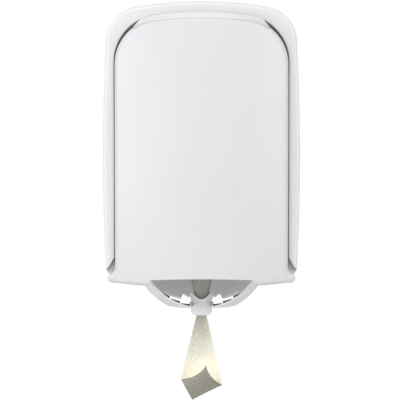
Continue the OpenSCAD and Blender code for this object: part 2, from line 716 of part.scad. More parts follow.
module front_cover() {
    cut_low = cover_low - eps;
    cut_top = cover_low + cutout_h;
    arch_r = (pow(cutout_top_hw, 2) + pow(cutout_rise, 2)) / (2 * cutout_rise);
    arch_turn = asin(cutout_top_hw / arch_r);
    arch = arc([0, cut_top + cutout_rise - arch_r], arch_r, 90 - arch_turn, 90 + arch_turn, 12);
    notch_w = plate_t + 1.2;
    notch_front = hinge_y - plate_r - 1.2;
    color([0.9, 0.905, 0.915]) difference() {
        union() {
            difference() {
                loft(concat(
                    [for (k = [0.3, 0.6, 0.82, 0.94]) cover_face_ring(cover_wall, k)],
                    [for (a = [0, 45, 90]) cover_edge_ring(cover_wall, a)],
                    [cover_rear_ring(cover_wall), cover_rear_ring(0)],
                    [for (a = [90, 67.5, 45, 22.5, 0]) cover_edge_ring(0, a)],
                    [for (k = [0.94, 0.82, 0.6, 0.3]) cover_face_ring(0, k)]));
                along_y(concat([[-cutout_hw, cut_low], [cutout_hw, cut_low]], arch), -shell_d, shell_d);
                both_sides() translate([plate_x - 0.6, notch_front, cut_low - 2])
                    cube([notch_w, -(shell_d - 1) - notch_front, hinge_z - cover_low]);
            }
            both_sides() cover_ear();
            loft([for (i = [-9 : 9]) lip_section(top_lip_hw * i / 9)]);
            for (x = catch_screw_x) catch_pad(x);
        }
        both_sides() bar_x(bush_r + seat_clear, ear_x - eps, ear_t + 2 * eps);
        for (x = catch_screw_x) translate([x, catch_screw_y, catch_top - eps])
            cylinder(r = screw_r + seat_clear, h = catch_screw_l + 2 * eps);
    }
}

// Hook that the turned cam stands in front of
module catch_plate() {
    base_x = catch_screw_x[0] - lug_r;
    base_w = catch_screw_x[1] - catch_screw_x[0] + 2 * lug_r;
    color([0.68, 0.69, 0.71]) difference() {
        union() {
            translate([base_x, catch_front, catch_top - cam_t])
                cube([base_w, 2 * (catch_screw_y - catch_front), cam_t]);
            translate([catch_x, catch_front, catch_top - cam_t])
                cube([catch_w, catch_back - catch_front, cam_t]);
            translate([catch_x, catch_back - cam_t, cam_top - 2 * cam_t])
                cube([catch_w, cam_t, catch_top - cam_top + 2 * cam_t]);
        }
        for (x = catch_screw_x) translate([x, catch_screw_y, catch_top - cam_t - eps])
            cylinder(r = screw_r + seat_clear, h = cam_t + 2 * eps);
    }
}

module catch_screws() {
    color([0.75, 0.76, 0.78]) for (x = catch_screw_x)
        translate([x, catch_screw_y, catch_top - cam_t]) screw_up(cam_t + catch_screw_l);
}

module lock_sleeve() {
    low = cam_top + 2.5;
    color([0.72, 0.73, 0.75]) translate([0, lock_y, 0]) difference() {
        union() {
            translate([0, 0, low]) cylinder(r = sleeve_r, h = lock_seat - low);
            translate([0, 0, lock_seat]) cylinder(r = sleeve_flange_r, h = sleeve_flange_t);
        }
        translate([0, 0, low - eps])
            cylinder(r = barrel_r + run_clear, h = lock_seat + sleeve_flange_t - low + 2 * eps);
    }
}

module lock_nut() {
    color([0.66, 0.67, 0.69]) translate([0, lock_y, lock_boss_low - lock_nut_t]) difference() {
        cylinder(r = lock_nut_r, h = lock_nut_t, $fn = 6);
        translate([0, 0, -eps]) cylinder(r = sleeve_r + seat_clear, h = lock_nut_t + 2 * eps);
    }
}

module lock_barrel() {
    top = lock_seat + sleeve_flange_t;
    key_w = 1.8;
    key_l = 0.6 * barrel_r;
    color([0.8, 0.81, 0.82]) translate([0, lock_y, 0]) difference() {
        translate([0, 0, cam_top]) cylinder(r = barrel_r, h = top - cam_top);
        translate([-key_w / 2, -key_l, top - 4]) cube([key_w, 2 * key_l, 5]);
        translate([0, 0, cam_top - eps]) cylinder(r = screw_r + seat_clear, h = 6);
    }
}

// Cam of the open lock, pointing to the front
module lock_cam() {
    color([0.7, 0.71, 0.73]) translate([0, lock_y, cam_top - cam_t]) difference() {
        union() {
            cylinder(r = barrel_r, h = cam_t);
            translate([-cam_w / 2, -cam_l + cam_w / 2, 0]) cube([cam_w, cam_l - cam_w / 2, cam_t]);
            translate([0, -cam_l + cam_w / 2, 0]) cylinder(r = cam_w / 2, h = cam_t);
        }
        translate([0, 0, -eps]) cylinder(r = screw_r + seat_clear, h = cam_t + 2 * eps);
    }
}

module cam_screw() {
    color([0.75, 0.76, 0.78]) translate([0, lock_y, cam_top - cam_t]) screw_up(cam_t + 5);
}

// Height of the throat's lower end inside the nozzle
throat_z = saddle_top - 6;

module nozzle() {
    round_r = nozzle_r - nozzle_bore_r - 2;
    crown_top = saddle_top + crown_up;
    crown_wall = 1.6;
    rest = saddle_wall / 4;
    profile = concat(
        [[nozzle_bore_r, nozzle_low]],
        arc([nozzle_r - round_r, nozzle_low + round_r], round_r, -90, 0, 8),
        [[nozzle_r, saddle_top], [nozzle_r + rest, saddle_top],
            [crown_flare_r, saddle_top + crown_flare_up], [nozzle_r + crown_wall / 2, crown_top],
            [nozzle_r - crown_wall / 2, crown_top],
            [crown_flare_r - 2 * crown_wall, saddle_top + crown_flare_up], [nozzle_bore_r, throat_z]]);
    color([0.86, 0.865, 0.875]) translate([0, roll_y, 0]) difference() {
        rotate_extrude() polygon(profile);
        translate([0, 0, saddle_top + dip_up + dip_r]) rotate([90, 0, 0])
            translate([0, 0, -2 * nozzle_r]) cylinder(r = dip_r, h = 4 * nozzle_r);
        translate([0, 0, bowl_low - clip_t]) difference() {
            cylinder(r = nozzle_r + 1, h = clip_t);
            translate([0, 0, -eps]) cylinder(r = nozzle_r - clip_groove, h = clip_t + 2 * eps);
        }
    }
}

// Spring clip in the nozzle's groove under the bowl, open at the front
module nozzle_clip() {
    inner_r = nozzle_r - clip_groove;
    color([0.7, 0.71, 0.73]) translate([0, roll_y, bowl_low - clip_t]) difference() {
        cylinder(r = inner_r + clip_w, h = clip_t);
        translate([0, 0, -eps]) cylinder(r = inner_r, h = clip_t + 2 * eps);
        translate([-0.9 * inner_r, -2 * nozzle_r, -eps])
            cube([1.8 * inner_r, 2 * nozzle_r, clip_t + 2 * eps]);
    }
}

module paper_roll() {
    ro = roll_d / 2;
    ri = roll_core_d / 2;
    color([0.93, 0.92, 0.86]) translate([0, roll_y, tray_z]) rotate_extrude() polygon(concat(
        arc([ri + roll_edge_r, roll_edge_r], roll_edge_r, 180, 270, 4),
        arc([ro - roll_edge_r, roll_edge_r], roll_edge_r, -90, 0, 4),
        arc([ro - roll_edge_r, roll_h - roll_edge_r], roll_edge_r, 0, 90, 4),
        arc([ri + roll_edge_r, roll_h - roll_edge_r], roll_edge_r, 90, 180, 4)));
}

// Gathered paper: a pleated cone from the roll's core to the nozzle, then a fan that spreads below it
tail_sides = 32;
tail_top = tray_z + 30;
neck_low = nozzle_low - 1;
funnel_z = saddle_top + crown_flare_up;
funnel_r = nozzle_r - 5;
gather_turns = 7;

// Radius of the gathered paper above the nozzle's exit
function gather_r(z) =
    let (wide = min(roll_core_d / 2, tray_hole_r) - 6)
    z < throat_z ? neck_r
    : z < funnel_z ? neck_r + (funnel_r - neck_r) * (z - throat_z) / (funnel_z - throat_z)
    : min(wide, funnel_r + (z - funnel_z) * 0.24);

function gather_ring(z) = [for (i = [0 : tail_sides - 1])
    let (a = -360 * (i + 0.5) / tail_sides, r = gather_r(z) * (1 - 0.06 * (1 + cos(gather_turns * a))))
    [r * cos(a), roll_y + r * sin(a), z]];

// Share of the tail's length that the sheet's end reaches at s, from -1 on the left to 1 on the right
function tail_reach(s) = s < tail_low_s
    ? 1 - tail_left_rise * (tail_low_s - s) / (tail_low_s + 1)
    : 1 - tail_right_rise * (s - tail_low_s) / (1 - tail_low_s);

// Depth of the trough and its folds at s across the fan and v down it
function fold_at(s, v) = min(1, 3 * v) * (trough * (1 - 0.4 * v) * (0.4 - s * s)
    + fold_depth * sin(180 * fold_count * s));

// Point of the fan's section at angle a, v down the fan
function fan_point(a, v) =
    let (s = cos(a), w = neck_r + (tail_hw - neck_r) * pow(v, 0.9),
        t = neck_r + (tail_t / 2 - neck_r) * min(1, 2.2 * v),
        end = nozzle_low - tail_l * tail_reach(s))
    [s * w, roll_y + fold_at(s, v) + t * sin(a), neck_low + (end - neck_low) * v];

function fan_ring(v) = [for (i = [0 : tail_sides - 1]) fan_point(-360 * (i + 0.5) / tail_sides, v)];

// Turned-up end of the sheet: u runs along its fold and v up to its free edge
function flap_point(u, v) =
    let (s = tail_low_s + (1 - tail_low_s) * u, foot = nozzle_low - tail_l * tail_reach(s) + tail_t)
    [tail_hw * (s - (0.54 + 0.24 * u) * v),
        roll_y + fold_at(s, 1) * (1 - v) - flap_lean * sin(90 * v) * (0.85 + 0.15 * u),
        foot + tail_l * (0.27 - 0.053 * u) * v];

module paper_tail() {
    heights = [tail_top, tray_z, floor_z, funnel_z + 8, funnel_z, throat_z, nozzle_low];
    color([0.95, 0.93, 0.86]) union() {
        sheet_loft(concat([for (z = heights) gather_ring(z)],
            [for (v = [0, 0.06, 0.14, 0.25, 0.4, 0.55, 0.7, 0.85, 1]) fan_ring(v)]));
        sheet_loft([for (v = [0 : 0.25 : 1]) concat(
            [for (u = [0 : 0.125 : 1]) flap_point(u, v) - [0, tail_t / 2, 0]],
            [for (u = [1 : -0.125 : 0]) flap_point(u, v) + [0, tail_t / 2, 0]])]);
    }
}

rear_casing();
roll_tray();
tray_screws();
outlet_bowl();
bowl_screws();
hinge_pin_left();
hinge_pin_right();
lock_sleeve();
lock_nut();
paper_roll();
paper_tail();
front_cover();
hinge_bush_left();
hinge_bush_right();
catch_plate();
catch_screws();
lock_barrel();
lock_cam();
cam_screw();
nozzle();
nozzle_clip();
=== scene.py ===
"""Looks of the centrefeed roll dispenser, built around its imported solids."""
import json
import math

import bmesh
import bpy
from mathutils import Matrix, Vector


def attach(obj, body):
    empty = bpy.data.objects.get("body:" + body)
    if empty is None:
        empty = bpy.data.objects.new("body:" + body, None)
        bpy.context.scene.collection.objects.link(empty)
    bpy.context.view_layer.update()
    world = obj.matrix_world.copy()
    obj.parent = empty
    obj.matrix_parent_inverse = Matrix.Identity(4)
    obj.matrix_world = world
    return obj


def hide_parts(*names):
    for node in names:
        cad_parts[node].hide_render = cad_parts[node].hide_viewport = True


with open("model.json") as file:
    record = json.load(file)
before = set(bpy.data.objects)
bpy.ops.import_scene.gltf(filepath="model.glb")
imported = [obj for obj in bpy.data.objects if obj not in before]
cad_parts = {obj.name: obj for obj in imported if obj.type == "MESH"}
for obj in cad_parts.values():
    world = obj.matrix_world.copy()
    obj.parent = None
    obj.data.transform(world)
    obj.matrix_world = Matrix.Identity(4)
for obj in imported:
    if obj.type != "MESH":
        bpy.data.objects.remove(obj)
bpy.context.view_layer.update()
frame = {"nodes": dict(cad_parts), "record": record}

# Units: the part's sizes are written in millimetres and turned into metres where meshes are made;
# lengths in materials and on the stage are in metres
MM = 0.001
SIDES = (1, -1)
# How far a cutting tool reaches past what it cuts, and a joined form into what it stands on
OVERCUT = 1.0
JOIN_LAP = 1.0
SEAT_CLEAR = 0.03

# Casing: as in the solids, but with smaller lower corners
BODY_W = 240.0
BODY_H = 334.0
BODY_D = 185.0
CASING_WALL = 2.5
CASING_DRAFT = 10.0
CORNER_R = 43.0
FOOT_R = 9.0
CROWN_R = 490.0
SIDE_R = 2600.0
WIDEST_UP = 138.0
BACK_EDGE = 2.0

# Rim and mouth of the casing; the mouth's rounded edge and the rim's sloped ends are made here alone
RIM_EDGE_R = 5.0
RIM_W = 13.4
RIM_H = 13.0
RIM_T = 8.0
MOUTH_CORNER_R = 56.0
LEDGE_W = 6.0
LEDGE_T = 2.5
LEDGE_GAP = 0.8
LEDGE_SKIN = 0.02
MOUTH_EDGE_R = 4.0
RIM_FOOT_UP = 26.0
RIM_FOOT_LOW = 4.5
RIM_FOOT_X = 117.6
RIM_FOOT_LAP = 2.0
# Width of the mouth's rounded edge at the side, at the top and on top of both round the corner,
# as shares of its radius
MOUTH_ROUND_SIDE = 0.3
MOUTH_ROUND_TOP = 0.1
MOUTH_ROUND_CORNER = 0.32

# Wall holes
FIX_UP = 163.0
FIX_DX = 140.0
FIX_DZ = 200.0
FIX_HOLE_R = 2.75
FIX_PAD_R = 9.0
FIX_PAD_H = 3.0

# Cover: a little wider than in the solids, with a smaller edge radius
COVER_WALL = 2.5
COVER_GAP = 2.4
COVER_WIDER = 0.6
COVER_TOP_GAP = 6.5
COVER_PROUD = 11.0
COVER_BOW_X = 24.0
COVER_BOW_Z = 6.0
COVER_BOW_POWER = 2.2
COVER_EDGE_R = 5.0
COVER_CORNER_R = 54.0
COVER_LAP = RIM_T - LEDGE_GAP
COVER_DROP = 10.5
COVER_FOOT_R = 1650.0
REAR_STEP = 8.0

# Bevelled lip along the cover's top, with tapered ends and a fine groove under it
TOP_LIP_HW = 82.0
TOP_LIP_GAP = 1.4
TOP_LIP_LEAN = 3.5
TOP_LIP_T = 4.5
TOP_LIP_TAPER = 8.0
TOP_LIP_BACK = 0.25
TOP_LIP_DOWN = 1.9
TOP_LIP_UNDER = 1.3
TOP_LIP_UNDER_DOWN = 0.6

# Flared foot of the cover and its cut-out over the bowl
FLARE_R = 10.8
FLARE_TURN = 64.0
LIP_R = 5.2
LIP_GAP = 3.5
CUTOUT_HW = 67.5
CUTOUT_TOP_HW = 62.0
CUTOUT_H = 8.6
CUTOUT_RISE = 2.0

# Hinge: plates on the casing, ears on the cover and slots in the cover for the plates
HINGE_UP = 1.0
HINGE_OUT = 6.0
HINGE_RELIEF = 1.6
PIN_R = 2.0
PLATE_T = 3.0
PLATE_R = 4.0
PLATE_GAP = 1.2
PLATE_L = 26.0
BUSH_R = 3.06
BUSH_SIDE = 1.0
EAR_T = 4.0
EAR_R = 4.9
EAR_REAR_CUT = 1.0
SLOT_CLEAR = 0.6
SLOT_FRONT = 1.2
SLOT_BELOW = 3.0
SLOT_UNDER_PIN = 2.5

# Roll, tray and screws
ROLL_D = 190.0
ROLL_BACK_GAP = 7.5
FLOOR_HOLE_R = 76.0
SCREW_R = 1.9
SCREW_HEAD_R = 3.6
LUG_R = 5.5
LUG_H = 8.0
LUG_ROOF = 2.0
BOWL_LUG_INSET = 1.0
BOWL_LUG_TURNS = (-22, 50, 130, 202)
TRAY_LUG_GAP = 0.4
TRAY_LUG_TURNS = (20, 90, 160)

# Bowl, and the black ribs behind its cut front, which paint the shadow lines there: the ribs' spans are
# distances from the middle
BOWL_R = 89.0
BOWL_CENTRE_UP = 33.3
BOWL_FLANGE_W = 5.5
BOWL_WALL = 2.5
BOWL_DEPTH = 43.6
BOWL_FRONT = 42.0
RIB_SPANS = ((14.6, 25.0), (26.6, 37.4), (39.6, 48.0))
RIB_BACK = 0.3
RIB_T = 1.2
RIB_SUNK = 0.4
RIB_IN_H = 2.2
RIB_OUT_H = 0.9

# Lock in the top of the casing, and the posts on the cover for its catch
LOCK_BACK = 28.0
LOCK_SEAT_DOWN = 0.6
LOCK_BOSS_UP = 2.0
LOCK_BOSS_WALL = 2.0
LOCK_HOLE_OVER = 6.0
SLEEVE_R = 9.0
SLEEVE_FLANGE_R = 11.5
SEAT_RELIEF = 0.3
CATCH_POSTS = (15.5, 43.0)
CATCH_OUT = 1.0
CATCH_TOP = 138.0
CATCH_SCREW_L = 6.0
POST_R = 5.0

# Nozzle: without the clip's groove, and with a slimmer crown than in the solids
NOZZLE_R = 13.0
NOZZLE_BORE_R = 6.5
NOZZLE_ROUND_R = 4.5
NOZZLE_LOW = -220.0
NOZZLE_BEVEL = 0.35
THROAT_Z = -206.5
SADDLE_TOP = -200.5
CROWN_R_LOW = 13.3
CROWN_FLARE_R = 14.8
CROWN_WALL = 1.6
CROWN_STEP = 1.0
CROWN_FLARE_UP = 3.2
CROWN_UP = 9.5
DIP_UP = 1.6
# Half of the dip between the crown's prongs: distance from the middle and height over the dip's low point
DIP_HALF = ((0.0, 0.0), (2.0, 0.25), (3.8, 0.9), (5.4, 1.9), (6.9, 3.2), (8.2, 4.6), (9.6, 5.9),
            (11.4, 7.0), (14.0, 8.0), (18.0, 9.0), (18.0, 20.0), (0.0, 20.0))

# Paper above the nozzle's exit: a pleated ring, closed but for a narrow slit, which opens to a half ring
# at the exit; the two turns are shares of a full ring
PAPER_T = 0.5
TAIL_TOP_Z = -105.0
FUNNEL_Z = -197.3
NECK_R = 5.8
FUNNEL_R = 8.0
GATHER_R = 24.0
GATHER_SLOPE = 0.24
PLEAT_COUNT = 7
PLEAT_SHARE = 0.05
EXIT_TURN = 0.5
RING_TURN = 0.997

# Paper below the nozzle: a fan with shallow folds
TAIL_L = 109.0
TAIL_HW = 26.0
TROUGH = 10.0
TROUGH_CLOSE = 0.35
FLATTEN = 0.5
FLATTEN_RATE = 1.5
FOLD_DEPTH = 0.4
FOLD_COUNT = 3
FOLD_PHASE = 0.6
FOLD_FADE = 0.6
# Lowest point of the paper's end, from -1 on the left to 1 on the right, and its rise to both sides
TAIL_LOW_S = -0.45
TAIL_LEFT_RISE = 0.26
TAIL_RIGHT_RISE = 0.18

# Turned-up end of the paper: its free edge goes left by shares of TAIL_HW and up by shares of TAIL_L,
# the first share at the low end of the fold and the second at the high end
FLAP_LEFT = (0.54, 0.78)
FLAP_UP = (0.27, 0.217)
FLAP_LEAN = 23.0
FLAP_LEAN_LOW = 0.85
FLAP_SAG = 3.2
FLAP_HOLLOW = 2.6
FLAP_FLICK = 4.5
FLAP_FLICK_POWER = 5

# Steps along curves and surfaces
BASE_STEPS = 12
FOOT_STEPS = 14
SIDE_STEPS = 40
CORNER_STEPS = 32
CROWN_STEPS = 28
DEPTH_STEPS = 8
COVER_FOOT_STEPS = 36
COVER_SIDE_STEPS = 40
COVER_CORNER_STEPS = 28
COVER_CROWN_STEPS = 32
COVER_FACE_STEPS = 18
LIP_STEPS = 14
FLARE_STEPS = 12
TOP_LIP_STEPS = 40
CUTOUT_STEPS = 40
EAR_STEPS = 24
PLATE_STEPS = 20
NOZZLE_STEPS = 96
NOZZLE_ROUND_STEPS = 12
RIB_STEPS = 12
TAIL_COLS = 96
GATHER_ROWS = 40
FAN_ROWS = 48
FLAP_ROWS = 20

# Worked out from the sizes above
FLOOR_Z = -FIX_UP
FLOOR_TOP = FLOOR_Z + CASING_WALL
CREST_Z = BODY_H - FIX_UP
WIDEST_Z = FLOOR_Z + WIDEST_UP
MOUTH_HW = BODY_W / 2 - RIM_W
MOUTH_CREST = CREST_Z - RIM_H
LEDGE_Y = RIM_T - BODY_D
FIX_PLACES = [(x, z) for x in (-FIX_DX / 2, FIX_DX / 2) for z in (-FIX_DZ / 2, FIX_DZ / 2)]
COVER_HW = MOUTH_HW - COVER_GAP
COVER_SIDE = COVER_HW + COVER_WIDER
COVER_CREST = MOUTH_CREST - COVER_TOP_GAP
COVER_LOW = FLOOR_Z - COVER_DROP
COVER_MID_Z = (COVER_CREST + COVER_LOW) / 2
COVER_HALF_H = (COVER_CREST - COVER_LOW) / 2
ROLL_Y = -(CASING_WALL + ROLL_BACK_GAP + ROLL_D / 2)
HINGE_Y = -(BODY_D + HINGE_OUT)
HINGE_Z = FLOOR_Z + HINGE_UP
PLATE_X = COVER_HW - COVER_WALL - PLATE_GAP - PLATE_T
EAR_X = PLATE_X - BUSH_SIDE - EAR_T
FLANGE_R = math.sqrt(BOWL_R ** 2 - BOWL_CENTRE_UP ** 2) + BOWL_FLANGE_W
LOCK_Y = LOCK_BACK - BODY_D
LOCK_SEAT = CREST_Z - CASING_DRAFT * LOCK_BACK / BODY_D - LOCK_SEAT_DOWN
CATCH_Y = -(BODY_D + CATCH_OUT)
# Place of the lowest point round the half cone of the fan, where -1 and 1 are its edges
FOLD_S = 2 / math.pi * math.asin(TAIL_LOW_S)


# Points and shares

def at(centre, r, degrees):
    """Point at an angle on a circle."""
    a = math.radians(degrees)
    return (centre[0] + r * math.cos(a), centre[1] + r * math.sin(a))


def arc(centre, r, start, end, steps):
    """Points along a circle, from one angle to another."""
    return [at(centre, r, start + (end - start) * i / steps) for i in range(steps + 1)]


def round_axis(r, turns):
    """Places round the axis of the roll, in X and Y."""
    return [at((0.0, ROLL_Y), r, turn) for turn in turns]


def angle_from(centre, point):
    return math.degrees(math.atan2(point[1] - centre[1], point[0] - centre[0]))


def mirrored(half):
    """Closed outline from its right half, whose ends lie on x = 0."""
    return half + [(-x, z) for x, z in reversed(half[1:-1])]


def chain(*runs):
    """Runs of points joined end to end without repeats."""
    points = list(runs[0])
    for run in runs[1:]:
        points += run[1:]
    return points


def circles_meet(c1, r1, c2, r2):
    """Right-hand meeting point of two circles."""
    c1, c2 = Vector(c1), Vector(c2)
    d = (c2 - c1).length
    a = (d * d + r1 * r1 - r2 * r2) / (2 * d)
    h = math.sqrt(r1 * r1 - a * a)
    u = (c2 - c1) / d
    p = c1 + a * u
    side = Vector((-u.y, u.x)) * h
    best = max((p + side, p - side), key=lambda q: q.x)
    return (best.x, best.y)


def between(a, b, share):
    """Value at a share of the way from a to b."""
    return a + (b - a) * share


def clamped(share):
    return max(0.0, min(1.0, share))


def ease(share):
    """A share that starts and ends gently."""
    k = clamped(share)
    return k * k * (3 - 2 * k)


def hump(share):
    """Nothing at both ends and 1 in the middle."""
    return 4 * share * (1 - share)


# Outlines and rings of the casing

def corner_on_side(half_width, r, crown_z):
    """Centre of a corner that touches a straight side and the crown's arc."""
    return (half_width - r, crown_z + math.sqrt((CROWN_R - r) ** 2 - (half_width - r) ** 2))


def casing_outline(inset, base_z):
    """Outline of the casing over a base, set in at its sides and top."""
    side = (BODY_W / 2 - SIDE_R, WIDEST_Z)
    crown = (0.0, CREST_Z - CROWN_R)
    corner = circles_meet(side, SIDE_R - CORNER_R, crown, CROWN_R - CORNER_R)
    foot_z = base_z + FOOT_R
    foot_x = side[0] + math.sqrt((SIDE_R - inset - FOOT_R) ** 2 - (foot_z - side[1]) ** 2)
    foot = (foot_x, foot_z)
    a1 = angle_from(side, foot)
    a2 = angle_from(side, corner)
    a3 = angle_from(crown, corner)
    base = [(foot_x * i / BASE_STEPS, base_z) for i in range(BASE_STEPS + 1)]
    return mirrored(chain(base,
                          arc(foot, FOOT_R, -90, a1, FOOT_STEPS),
                          arc(side, SIDE_R - inset, a1, a2, SIDE_STEPS),
                          arc(corner, CORNER_R - inset, a2, a3, CORNER_STEPS),
                          arc(crown, CROWN_R - inset, a3, 90, CROWN_STEPS)))


def casing_ring(y, inset, base_z):
    return [(x, y, z) for x, z in casing_outline(inset, base_z)]


def draft_at(y):
    return CASING_DRAFT * (1 + y / BODY_D)


def mouth_half(inset):
    """Right half of the mouth, set in at its side and top."""
    crown = (0.0, MOUTH_CREST - CROWN_R)
    corner = corner_on_side(MOUTH_HW, MOUTH_CORNER_R, crown[1])
    a = angle_from(crown, corner)
    side_x = MOUTH_HW - inset
    return chain([(0.0, FLOOR_TOP), (side_x, FLOOR_TOP), (side_x, corner[1])],
                 arc(corner, MOUTH_CORNER_R - inset, 0, a, CORNER_STEPS),
                 arc(crown, CROWN_R - inset, a, 90, CROWN_STEPS))


def mouth_ring(share, y):
    """Ring of the mouth's rounded edge, which is widest round the corners."""
    ring = []
    for i, (outer, inner) in enumerate(zip(mouth_half(0.0), mouth_half(MOUTH_EDGE_R))):
        # The corner's arc starts at the third point
        k = clamped((i - 2) / CORNER_STEPS)
        width = between(MOUTH_ROUND_SIDE, MOUTH_ROUND_TOP, k) + MOUTH_ROUND_CORNER * math.sin(math.pi * k)
        ring.append([between(p, q, share * width) for p, q in zip(outer, inner)])
    return [(x, y, z) for x, z in mirrored(ring)]


# Outlines and rings of the cover

COVER_FOOT = (0.0, COVER_LOW + COVER_FOOT_R)
COVER_CROWN = (0.0, COVER_CREST - CROWN_R)
COVER_CORNER = corner_on_side(COVER_SIDE, COVER_CORNER_R, COVER_CROWN[1])
LIP_X = COVER_SIDE + FLARE_R - (FLARE_R + LIP_R) * math.cos(math.radians(FLARE_TURN))
LIP_Z = COVER_FOOT[1] - math.sqrt((COVER_FOOT_R - LIP_R) ** 2 - LIP_X ** 2)
FLARE_Z = LIP_Z + (FLARE_R + LIP_R) * math.sin(math.radians(FLARE_TURN))


def cover_outline(inset):
    """Outline of the cover: bowed foot, lip, flare, straight side, corner and crown."""
    lip = (LIP_X, LIP_Z)
    hollow = (COVER_SIDE + FLARE_R, FLARE_Z)
    a1 = angle_from(COVER_FOOT, lip)
    a2 = angle_from(COVER_CROWN, COVER_CORNER)
    side = [(COVER_SIDE - inset, between(FLARE_Z, COVER_CORNER[1], i / COVER_SIDE_STEPS))
            for i in range(COVER_SIDE_STEPS + 1)]
    return mirrored(chain(arc(COVER_FOOT, COVER_FOOT_R - inset, -90, a1, COVER_FOOT_STEPS),
                          arc(lip, LIP_R - inset, a1, FLARE_TURN, LIP_STEPS),
                          arc(hollow, FLARE_R + inset, 180 + FLARE_TURN, 180, FLARE_STEPS),
                          side,
                          arc(COVER_CORNER, COVER_CORNER_R - inset, 0, a2, COVER_CORNER_STEPS),
                          arc(COVER_CROWN, CROWN_R - inset, a2, 90, COVER_CROWN_STEPS)))


def cover_y(x, z):
    """Front surface of the cover, bowed across and along."""
    bow_x = COVER_BOW_X * (1 - min(1.0, abs(x) / COVER_HW) ** COVER_BOW_POWER)
    bow_z = COVER_BOW_Z * (1 - ((z - COVER_MID_Z) / COVER_HALF_H) ** 2)
    return -(BODY_D + COVER_PROUD + bow_x + bow_z)


def cover_rear(z):
    """Rear edge of the cover: in front of the casing at the foot, and in its mouth above."""
    return -(BODY_D + LIP_GAP) + clamped((z - FLARE_Z) / REAR_STEP) * (LIP_GAP + COVER_LAP)


def cover_edge_ring(depth, degrees):
    """Ring on the rounded edge, at a depth under the outside."""
    r = COVER_EDGE_R - depth
    a = math.radians(degrees)
    return [(x, cover_y(x, z) + depth + r * (1 - math.cos(a)), z)
            for x, z in cover_outline(depth + r * (1 - math.sin(a)))]


def cover_face_ring(depth, share):
    """Ring on the face, at a depth under the outside and a share of the way out from the middle."""
    ring = []
    for x, z in cover_outline(COVER_EDGE_R):
        face_x, face_z = x * share, between(COVER_MID_Z, z, share)
        ring.append((face_x, cover_y(face_x, face_z) + depth, face_z))
    return ring


def cover_rear_ring(depth):
    return [(x, cover_rear(z), z) for x, z in cover_outline(depth)]


def top_edge(x, half_width, r, crest):
    """Height of an outline's top edge at x."""
    crown_z = crest - CROWN_R
    corner = corner_on_side(half_width, r, crown_z)
    if abs(x) < corner[0] * CROWN_R / (CROWN_R - r):
        return crown_z + math.sqrt(CROWN_R ** 2 - x * x)
    return corner[1] + math.sqrt(r * r - (abs(x) - corner[0]) ** 2)


def lip_section(x):
    """Section of the bevelled lip along the cover's top edge."""
    low = top_edge(x, COVER_SIDE, COVER_CORNER_R, COVER_CREST)
    full = top_edge(x, MOUTH_HW, MOUTH_CORNER_R, MOUTH_CREST) - TOP_LIP_GAP
    high = between(low, full, min(1.0, (TOP_LIP_HW - abs(x)) / TOP_LIP_TAPER))
    front = cover_y(x, low) + TOP_LIP_BACK
    back = front + TOP_LIP_LEAN + TOP_LIP_T
    under = low - TOP_LIP_DOWN
    return [(x, back, low - COVER_WALL / 2), (x, back, high), (x, front + TOP_LIP_LEAN, high),
            (x, front, under), (x, front + TOP_LIP_UNDER, under - TOP_LIP_UNDER_DOWN)]


# Mesh making

def new_object(name, bm):
    bmesh.ops.recalc_face_normals(bm, faces=bm.faces)
    mesh = bpy.data.meshes.new(name)
    bm.to_mesh(mesh)
    bm.free()
    obj = bpy.data.objects.new(name, mesh)
    bpy.context.collection.objects.link(obj)
    return obj


def add_row(bm, points):
    """Vertices at points in millimetres."""
    return [bm.verts.new(Vector(p) * MM) for p in points]


def add_band(bm, a, b):
    """Faces between two closed rows of vertices."""
    for j in range(len(a)):
        k = (j + 1) % len(a)
        bm.faces.new((a[j], a[k], b[k], b[j]))


def add_loft(bm, rings):
    """Closed skin over rings of equal length."""
    rows = [add_row(bm, ring) for ring in rings]
    for a, b in zip(rows, rows[1:]):
        add_band(bm, a, b)
    for row in (rows[0], rows[-1]):
        centre = bm.verts.new(sum((v.co for v in row), Vector()) / len(row))
        for j in range(len(row)):
            bm.faces.new((row[j], row[(j + 1) % len(row)], centre))


def add_slab(bm, first, last):
    """Solid between two flat outlines of equal length."""
    rows = [add_row(bm, outline) for outline in (first, last)]
    for row in rows:
        bm.faces.new(row)
    add_band(bm, *rows)


def add_prism(bm, outline, y0, y1):
    """Outline in X and Z drawn out along Y."""
    add_slab(bm, [(x, y0, z) for x, z in outline], [(x, y1, z) for x, z in outline])


def add_side_prism(bm, outline, x0, x1):
    """Outline in Y and Z drawn out along X."""
    add_slab(bm, [(x0, y, z) for y, z in outline], [(x1, y, z) for y, z in outline])


def add_box(bm, low, high):
    corners = ((low[0], low[2]), (high[0], low[2]), (high[0], high[2]), (low[0], high[2]))
    add_prism(bm, corners, low[1], high[1])


def add_cylinder(bm, start, end, r, sides=64):
    """Cylinder from start to end."""
    start, end = Vector(start) * MM, Vector(end) * MM
    turn = (end - start).to_track_quat("Z", "Y").to_matrix().to_4x4()
    place = Matrix.Translation((start + end) / 2) @ turn
    bmesh.ops.create_cone(bm, cap_ends=True, segments=sides, radius1=r * MM, radius2=r * MM,
                          depth=(end - start).length, matrix=place)


def add_upright(bm, place, low, high, r, sides=64):
    """Cylinder that stands at a place in X and Y."""
    add_cylinder(bm, (*place, low), (*place, high), r, sides)


def add_on_hinge(bm, x0, x1, r, sides=64):
    """Cylinder on the hinge's axis."""
    add_cylinder(bm, (x0, HINGE_Y, HINGE_Z), (x1, HINGE_Y, HINGE_Z), r, sides)


def apply_modifiers(obj):
    """Keeps what the modifiers make of an object as its plain mesh."""
    graph = bpy.context.evaluated_depsgraph_get()
    result = bpy.data.meshes.new_from_object(obj.evaluated_get(graph))
    obj.modifiers.clear()
    old = obj.data
    obj.data = result
    bpy.data.meshes.remove(old)


